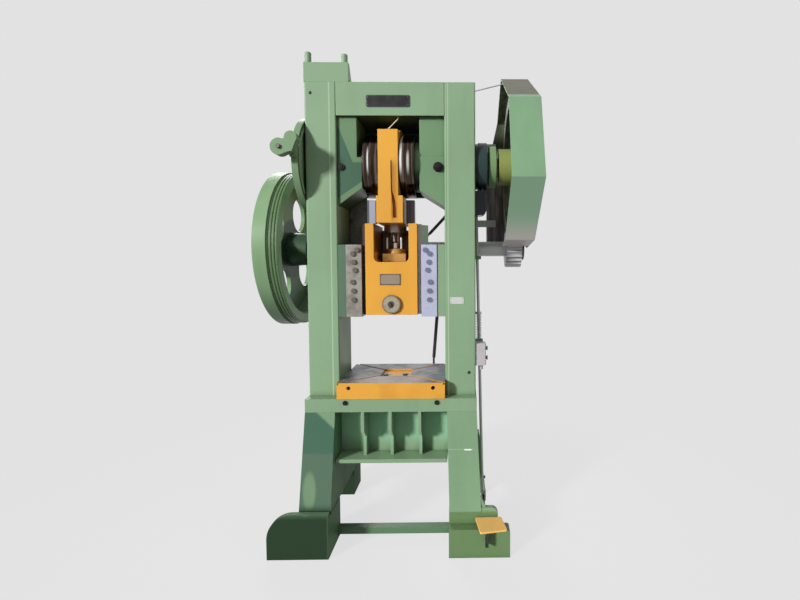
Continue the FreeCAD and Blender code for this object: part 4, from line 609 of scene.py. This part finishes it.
FINISHES = {
    "green_paint": enamel("green enamel", GREEN, GREEN_SHADE, GREEN_WORN_EDGE_LIGHT),
    "ground_steel": bare_steel("ground steel", srgb(186, 186, 200), srgb(120, 108, 98), 0.28),
    "dark_steel": bare_steel("oily dark steel", srgb(84, 80, 80), srgb(48, 40, 36), 0.3, 0.8, (1, 1, 1)),
    "bronze": bare_steel("turned bronze", srgb(190, 150, 90), srgb(110, 80, 44), 0.26),
    "brake_lining": plain("brake lining", srgb(70, 62, 54), 0.8),
    "black_plate": plain("black plate", srgb(24, 24, 26), 0.35),
    "pale_plate": plain("pale plate", srgb(206, 208, 202), 0.4, 0.2),
    "grey_paint": plain("grey box paint", srgb(190, 184, 188), 0.42),
    "green_plastic": plain("green button", srgb(40, 150, 70), 0.25),
    "red_plastic": plain("red button", srgb(190, 40, 36), 0.25),
}
OWN_FINISH = {
    "left_base": enamel("left base enamel", BASE_GREEN, GREEN_SHADE, GREEN_WORN_EDGE_LIGHT, 0.55, leg_shadow_and_foot_shade,
                        gloss=0.08),
    "right_base": enamel("right base enamel", BASE_GREEN, GREEN_SHADE, GREEN_WORN_EDGE_LIGHT, extra=toe_shade_and_joint),
    "crown": enamel("crown enamel", GREEN, GREEN_SHADE, GREEN_WORN_EDGE_LIGHT, extra=crown_shade),
    "left_pillar": enamel("left pillar enamel", GREEN, GREEN_SHADE, GREEN_WORN_EDGE_LIGHT, extra=lit_pillar),
    "right_pillar": enamel("right pillar enamel", GREEN, GREEN_SHADE, GREEN_WORN_EDGE_LIGHT, extra=lit_pillar),
    # The left box's enamel is darker than the right box's: painted shade.
    "left_bearing_box": enamel("left box enamel", srgb(103, 135, 98), GREEN_SHADE, GREEN_WORN_EDGE_LIGHT,
                               extra=shaded_box),
    "right_bearing_box": enamel("right box enamel", BOX_GREEN, GREEN_SHADE, GREEN_WORN_EDGE_LIGHT, extra=oily_and_shaded_box),
    "flywheel": enamel("flywheel enamel", srgb(130, 162, 122), GREEN_SHADE, GREEN_WORN_EDGE_LIGHT, extra=flywheel_shade,
                       corner_shade=0.2),
    "guard": enamel("guard enamel", srgb(126, 160, 126), GREEN_SHADE, GREEN_WORN_EDGE_LIGHT, extra=guard_facets),
    "pitman": enamel("pitman enamel", YELLOW, YELLOW_SHADE, YELLOW_WORN_EDGE_LIGHT, 0.4, pitman_scoop_shade),
    "slide": enamel("slide enamel", YELLOW, YELLOW_SHADE, YELLOW_WORN_EDGE_LIGHT, 0.4, slide_vee_and_throat),
    "clutch_collar": enamel("collar enamel", srgb(42, 64, 62), srgb(30, 40, 40), srgb(120, 150, 140), 0.22),
    "clutch_disc": enamel("clutch disc enamel", srgb(122, 154, 106), GREEN_SHADE, GREEN_WORN_EDGE_LIGHT),
    "latch_housing": enamel("latch enamel", srgb(46, 52, 66), srgb(30, 32, 40), srgb(200, 204, 214), 0.2),
    # The photograph doesn't show the next three or the return spring. Their pale tones are
    # guesses, chosen against the pale ground; such parts are usually painted or dark with oil.
    "guard_arms": plain("pale zinc", srgb(214, 216, 214), 0.5, 0.2),
    "pinion": plain("bright pinion steel", srgb(206, 206, 208), 0.45, 0.3),
    "back_shaft": plain("bright shaft steel", srgb(222, 222, 224), 0.4, 0.2),
    "frame_bolts": bare_steel("black bolt steel", srgb(34, 30, 28), srgb(20, 18, 16), 0.2, 0.6, (1, 1, 1)),
    "brake_band": enamel("brake band enamel", srgb(118, 148, 110), GREEN_SHADE, GREEN_WORN_EDGE_LIGHT),
    "tie_bar": enamel("tie bar enamel", srgb(92, 124, 94), GREEN_SHADE, GREEN_WORN_EDGE_LIGHT),
    "pull_rod": plain("bright rod steel", srgb(204, 208, 204), 0.42, 0.2),
    "return_spring": plain("bright spring steel", srgb(196, 200, 196), 0.35, 0.4),
    "pedal_lever": plain("oily lever steel", srgb(46, 50, 44), 0.4, 0.3),
    "bed": enamel("bed enamel", GREEN, GREEN_SHADE, GREEN_WORN_EDGE_LIGHT, extra=lit_bed_recess, corner_shade=0.5),
    "ball_screw": screw_finish(),
    "lock_collar": bare_steel("mottled collar steel", srgb(150, 138, 122), srgb(52, 38, 30), 0.25, 0.7,
                              (1, 1, 1), 1.0),
    "gib_screws": gib_screw_finish(),
    "ball_seat": bare_steel("oiled brass seat", srgb(196, 150, 84), srgb(96, 66, 36), 0.24, 0.8, (1, 1, 1)),
    "ball_cap": bare_steel("oiled brass cap", srgb(206, 160, 92), srgb(96, 66, 36), 0.24, 0.8, (1, 1, 1)),
    "pedal_plate": enamel("pedal enamel", srgb(250, 196, 112), YELLOW_SHADE, srgb(224, 196, 140), 0.5),
    "bolster": bolster_finish(),
    "crankshaft": crank_finish(),
    "bull_gear": gear_finish(),
    "lube_lines": pipes_finish(),
    "guide_bars": bars_finish(),
    "left_gib": bare_steel("stained gib steel", srgb(150, 146, 138), srgb(84, 72, 64), 0.34, 0.5,
                           stained=0.8),
    "right_gib": bare_steel("wiped gib steel", srgb(188, 192, 214), srgb(150, 146, 164), 0.26, 0.5),
    "shank_clamp": clamp_finish(),
    "crown_plate": bordered_plate("crown plate", srgb(20, 20, 22), srgb(58, 60, 60),
                                  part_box("crown_plate"), 0.004),
    "slide_plate": bordered_plate("slide plate", srgb(150, 136, 118), srgb(96, 84, 70),
                                  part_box("slide_plate"), 0.005),
}


def dress_nodes():
    """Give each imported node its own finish, or that of its slot."""
    for row in frame["record"]["subparts"]:
        name = row["node"]
        piece = frame["nodes"][name]
        piece.data.materials.clear()
        piece.data.materials.append(OWN_FINISH.get(name) or FINISHES[row["material_slot"]])


dress_nodes()


# ---------------------------------------------------------------------------------------------
# Small pieces
# ---------------------------------------------------------------------------------------------
def fitted(name, mesh, finish, body):
    """Put a finished mesh on the press: it rides on a body."""
    mesh.materials.clear()
    mesh.materials.append(finish)
    piece = bpy.data.objects.new(name, mesh)
    bpy.context.scene.collection.objects.link(piece)
    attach(piece, body)
    return piece


SHARP = 1.0  # angle in radians past which an edge of a bar's end is rounded


def round_bar(start, end, radius, sides=16):
    """Closed bar with rounded ends between two points."""
    mesh = bpy.data.meshes.new("round bar")
    shape = bmesh.new()
    bmesh.ops.create_cone(shape, cap_ends=True, segments=sides, radius1=radius, radius2=radius,
                          depth=(end - start).length)
    rims = [edge for edge in shape.edges
            if len(edge.link_faces) == 2 and edge.calc_face_angle(0) > SHARP]
    bmesh.ops.bevel(shape, geom=rims, offset=radius * 0.2, segments=2, affect="EDGES")
    turn = (end - start).to_track_quat("Z", "Y").to_matrix().to_4x4()
    bmesh.ops.transform(shape, matrix=Matrix.Translation((start + end) / 2) @ turn, verts=shape.verts)
    shape.to_mesh(mesh)
    shape.free()
    return mesh


def rivet_tree():
    """Node tree that sets domed heads on the points of a mesh; they face the front."""
    tree = bpy.data.node_groups.new("domed heads", "GeometryNodeTree")
    face = tree.interface
    face.new_socket("Geometry", in_out="INPUT", socket_type="NodeSocketGeometry")
    face.new_socket("Head Radius", in_out="INPUT", socket_type="NodeSocketFloat")
    face.new_socket("Turn", in_out="INPUT", socket_type="NodeSocketVector")
    face.new_socket("Finish", in_out="INPUT", socket_type="NodeSocketMaterial")
    face.new_socket("Geometry", in_out="OUTPUT", socket_type="NodeSocketGeometry")
    add, link = tree.nodes.new, tree.links.new
    given, result = add("NodeGroupInput"), add("NodeGroupOutput")
    head = add("GeometryNodeMeshUVSphere")
    head.inputs["Segments"].default_value = 12
    head.inputs["Rings"].default_value = 8
    flat = add("GeometryNodeTransform")
    flat.inputs["Scale"].default_value = (1.0, 1.0, 0.45)
    turned = add("GeometryNodeTransform")
    spread = add("GeometryNodeInstanceOnPoints")
    solid, paint = add("GeometryNodeRealizeInstances"), add("GeometryNodeSetMaterial")
    link(given.outputs["Head Radius"], head.inputs["Radius"])
    link(head.outputs["Mesh"], flat.inputs["Geometry"])
    link(flat.outputs["Geometry"], turned.inputs["Geometry"])
    link(given.outputs["Turn"], turned.inputs["Rotation"])
    link(given.outputs["Geometry"], spread.inputs["Points"])
    link(turned.outputs["Geometry"], spread.inputs["Instance"])
    link(spread.outputs["Instances"], solid.inputs["Geometry"])
    link(solid.outputs["Geometry"], paint.inputs["Geometry"])
    link(given.outputs["Finish"], paint.inputs["Material"])
    link(paint.outputs["Geometry"], result.inputs["Geometry"])
    return tree


RIVETS = rivet_tree()


def heads(name, points, radius, turn, finish, body):
    """Row of domed heads on given points, made one plain mesh."""
    mesh = bpy.data.meshes.new(name + " points")
    mesh.from_pydata([tuple(point) for point in points], [], [])
    carrier = bpy.data.objects.new(name + " points", mesh)
    bpy.context.scene.collection.objects.link(carrier)
    setter = carrier.modifiers.new("heads", "NODES")
    setter.node_group = RIVETS
    wanted = {"Head Radius": radius, "Turn": turn, "Finish": finish}
    for item in RIVETS.interface.items_tree:
        if item.in_out == "INPUT" and item.name in wanted:
            setter[item.identifier] = wanted[item.name]
    ready = carrier.evaluated_get(bpy.context.evaluated_depsgraph_get())
    made = bpy.data.meshes.new_from_object(ready)
    carrier.modifiers.remove(setter)
    bpy.data.objects.remove(carrier)
    return fitted(name, made, finish, body)


FRONT = (math.pi / 2, 0.0, 0.0)
OUTWARD = (0.0, math.pi / 2, 0.0)


def plate_rivets(node_name, body, radius, inset):
    """Heads in the corners of a plate that faces the front."""
    low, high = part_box(node_name)
    corners = [(x, low.y, z) for x in (low.x + inset, high.x - inset)
               for z in (low.z + inset, high.z - inset)]
    steel = FINISHES["dark_steel"]
    return heads(node_name + "_rivets", corners, radius, FRONT, steel, body)


def fasteners():
    """Rivets of the three plates, screws of the starter cover and plugs in the pillars."""
    plate_rivets("crown_plate", "frame", 0.0032, 0.009)
    plate_rivets("slide_plate", "slide_body", 0.0022, 0.006)
    plate_rivets("pillar_plate", "frame", 0.002, 0.005)
    low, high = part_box("starter_cover")
    inset = 0.006
    spots = [(high.x, y, z) for y in (low.y + inset, high.y - inset)
             for z in (low.z + inset, high.z - inset)]
    heads("starter_cover_screws", spots, 0.003, OUTWARD, FINISHES["dark_steel"], "frame")
    plugs = [at(-0.381, 0.0, 2.191), at(0.377, 0.0, 0.834)]
    heads("pillar_plugs", plugs, 0.008, FRONT, FINISHES["black_plate"], "frame")


def guard_stay():
    """Thin stay from the right pillar's top to the guard."""
    bar = round_bar(at(0.404, 0.12, 2.243), at(0.5565, 0.12, 2.2805), 0.0028)
    fitted("guard_stay", bar, FINISHES["ground_steel"], "frame")


def block(low, high):
    """Closed box with small chamfers."""
    mesh = bpy.data.meshes.new("block")
    shape = bmesh.new()
    bmesh.ops.create_cube(shape, size=1.0)
    span = high - low
    bmesh.ops.scale(shape, vec=span, verts=shape.verts)
    bmesh.ops.translate(shape, vec=(low + high) / 2, verts=shape.verts)
    bmesh.ops.bevel(shape, geom=list(shape.edges), offset=min(span) * 0.2, segments=1, affect="EDGES")
    shape.to_mesh(mesh)
    shape.free()
    return mesh


def stud_sleeves():
    """Spacer tubes over the motor studs."""
    depth, foot, radius = 0.026, 2.2675, 0.0155
    for name, x, top in (("left_sleeve", -0.396, 2.3898), ("right_sleeve", -0.221, 2.3808)):
        bar = round_bar(at(x, depth, foot), at(x, depth, top), radius, 24)
        fitted(name, bar, FINISHES["green_paint"], "frame")


def conduit_sleeves():
    """Black hose over the conduit's lower and upper straight runs."""
    depth = 0.385
    runs = (("conduit_sleeve", (0.2012, 1.102), (0.1786, 0.83), 0.0095),
            ("upper_sleeve", (0.2785, 1.6713), (0.158, 1.5427), 0.009))
    for name, (top_x, top_z), (low_x, low_z), radius in runs:
        bar = round_bar(at(top_x, depth, top_z), at(low_x, depth, low_z), radius, 20)
        fitted(name, bar, FINISHES["black_plate"], "frame")


def rear_plate():
    """Dark cover plate behind the left pillar's inner edge, on a strip that spaces it off."""
    foot, top = 1.469, 1.729
    plate = block(at(-0.300, 0.2545, foot), at(-0.168, 0.2585, top))
    finish = bare_steel("mottled cover plate", srgb(104, 108, 104), srgb(44, 58, 44), 0.35, 0.3,
                        (1, 1, 1), 1.0)
    fitted("rear_cover_plate", plate, finish, "frame")
    strip = block(at(-0.300, 0.2399, foot), at(-0.268, 0.2546, top))
    fitted("cover_plate_strip", strip, FINISHES["green_paint"], "frame")


def cap_studs():
    """Two bright studs that hold the ball cap."""
    depth, foot, top, radius = 0.097, 1.4466, 1.505, 0.0062
    for name, x in (("left_cap_stud", -0.036), ("right_cap_stud", 0.036)):
        bar = round_bar(at(x, depth, foot), at(x, depth, top), radius)
        fitted(name, bar, FINISHES["ground_steel"], "slide_body")


def throat_plate():
    """Dark brown back plate behind the slide's throat."""
    half_width = 0.0848
    plate = block(at(-half_width, 0.2455, 1.3805), at(half_width, 0.2495, 1.551))
    finish = bare_steel("dark throat plate", srgb(96, 72, 52), srgb(40, 28, 22), 0.3, 0.4,
                        (1, 1, 1), 0.9)
    fitted("throat_plate", plate, finish, "slide_body")


fasteners()
guard_stay()
stud_sleeves()
conduit_sleeves()
rear_plate()
cap_studs()
throat_plate()


# ---------------------------------------------------------------------------------------------
# Stage, light and camera
# ---------------------------------------------------------------------------------------------
BACKGROUND = srgb(226, 226, 226)
GROUND = srgb(150, 150, 150)
SKY = 0.26  # strength of the world's even light
KEY_WAY = Vector((0.636, 0.70, -0.318))
KEY_STRENGTH = 3.5
SHADOW_SHARE = 0.35  # how much of the object's shadow the ground shows near the feet
SHADOW_FADE = (0.7, 2.6)  # distances between which that shadow fades out


def seen_directly(finish):
    """1 for rays from the camera, and for those that metal and glass send on."""
    path = finish.node("ShaderNodeLightPath", {}, {})
    return (path["Is Camera Ray"] + path["Is Glossy Ray"] + path["Is Transmission Ray"]).clamp()


def ground_material():
    """Pale ground: it shows as its plain colour, and takes the object's shadow near the feet."""
    ground = Finish("pale ground")
    ground.feed(Base_Color=GROUND, Roughness=1.0, Specular_IOR_Level=0.0)
    lit = GROUND[0] * (KEY_STRENGTH * -KEY_WAY.z / math.pi + SKY)
    rest = BACKGROUND[0] - lit
    missing, full = (
        ground.node("ShaderNodeEmission", {}, {"Color": colour, "Strength": 1.0})["Emission"]
        for colour in ((rest, rest, rest, 1), (*BACKGROUND, 1)))
    nodes, links = ground.tree.nodes, ground.tree.links
    out = nodes["Material Output"]
    near, direct, plain_ground = (nodes.new(kind) for kind in (
        "ShaderNodeAddShader", "ShaderNodeMixShader", "ShaderNodeMixShader"))
    links.new(ground.shader.outputs[0], near.inputs[0])
    links.new(missing.socket, near.inputs[1])
    away = ground.vector("LENGTH", ground.place, (0, 0, 0), "Value").step(*SHADOW_FADE)
    share = (1 - away) * SHADOW_SHARE
    links.new(share.socket, direct.inputs[0])
    links.new(full.socket, direct.inputs[1])
    links.new(near.outputs[0], direct.inputs[2])
    links.new(seen_directly(ground).socket, plain_ground.inputs[0])
    links.new(ground.shader.outputs[0], plain_ground.inputs[1])
    links.new(direct.outputs[0], plain_ground.inputs[2])
    links.new(plain_ground.outputs[0], out.inputs["Surface"])
    return ground.material


def stage():
    """Wide floor at the press's feet."""
    bpy.ops.mesh.primitive_plane_add(size=60)
    floor = bpy.context.object
    floor.name = "floor"
    floor.data.materials.append(ground_material())


def world():
    """Even light on the object, and the background's colour for rays that see it directly."""
    sky = bpy.data.worlds.new("studio")
    bpy.context.scene.world = sky
    sky.use_nodes = True
    nodes, links = sky.node_tree.nodes, sky.node_tree.links
    nodes.clear()
    soft = nodes.new("ShaderNodeBackground")
    soft.inputs["Color"].default_value = (1, 1, 1, 1)
    soft.inputs["Strength"].default_value = SKY
    seen = nodes.new("ShaderNodeBackground")
    seen.inputs["Color"].default_value = (*BACKGROUND, 1)
    path = nodes.new("ShaderNodeLightPath")
    seen_or_glossy, any_direct = nodes.new("ShaderNodeMath"), nodes.new("ShaderNodeMath")
    seen_or_glossy.operation = any_direct.operation = "MAXIMUM"
    mix = nodes.new("ShaderNodeMixShader")
    out = nodes.new("ShaderNodeOutputWorld")
    links.new(path.outputs["Is Camera Ray"], seen_or_glossy.inputs[0])
    links.new(path.outputs["Is Glossy Ray"], seen_or_glossy.inputs[1])
    links.new(seen_or_glossy.outputs[0], any_direct.inputs[0])
    links.new(path.outputs["Is Transmission Ray"], any_direct.inputs[1])
    links.new(any_direct.outputs[0], mix.inputs[0])
    links.new(soft.outputs[0], mix.inputs[1])
    links.new(seen.outputs[0], mix.inputs[2])
    links.new(mix.outputs[0], out.inputs[0])


def sun(name, way, strength, spread):
    """Light from far away: way is where it travels, spread its angle in degrees."""
    data = bpy.data.lights.new(name, "SUN")
    data.energy = strength
    data.angle = math.radians(spread)
    holder = bpy.data.objects.new(name, data)
    bpy.context.scene.collection.objects.link(holder)
    holder.rotation_euler = Vector(way).to_track_quat("-Z", "Y").to_euler()


def lights():
    """Key light from the left front, and two weak ones against black shadows."""
    sun("key", KEY_WAY, KEY_STRENGTH, 9)
    sun("back", (0.35, -0.8, -0.55), 0.9, 25)
    sun("side", (-0.9, 0.35, -0.45), 0.3, 30)


# Solved from the photograph's edges
CAMERA_PLACE = at(0.34880, -2.21892, 1.37118)
CAMERA_YAW = math.radians(-0.856)
CAMERA_PITCH = math.radians(-2.618)
CAMERA_ROLL = math.radians(-0.131)
FOCAL_PIXELS = 453.115
MIDDLE_PIXEL = (469.805, 284.425)
IMAGE = (800, 600)
SENSOR = 36.0


def camera():
    """Camera that was solved from the photograph's edges; the picture is cropped off its centre."""
    data = bpy.data.cameras.new("photo camera")
    data.sensor_fit = "HORIZONTAL"
    data.sensor_width = SENSOR
    data.lens = FOCAL_PIXELS * SENSOR / IMAGE[0]
    data.shift_x = (IMAGE[0] / 2 - MIDDLE_PIXEL[0]) / IMAGE[0]
    data.shift_y = (MIDDLE_PIXEL[1] - IMAGE[1] / 2) / IMAGE[0]
    data.clip_end = 100
    holder = bpy.data.objects.new("photo camera", data)
    bpy.context.scene.collection.objects.link(holder)
    turn = (Matrix.Rotation(CAMERA_YAW, 4, "Z") @ Matrix.Rotation(math.pi / 2 + CAMERA_PITCH, 4, "X")
            @ Matrix.Rotation(CAMERA_ROLL, 4, "Z"))
    holder.matrix_world = Matrix.Translation(CAMERA_PLACE) @ turn
    bpy.context.scene.camera = holder


stage()
world()
lights()
camera()
bpy.context.scene.view_settings.view_transform = "Standard"
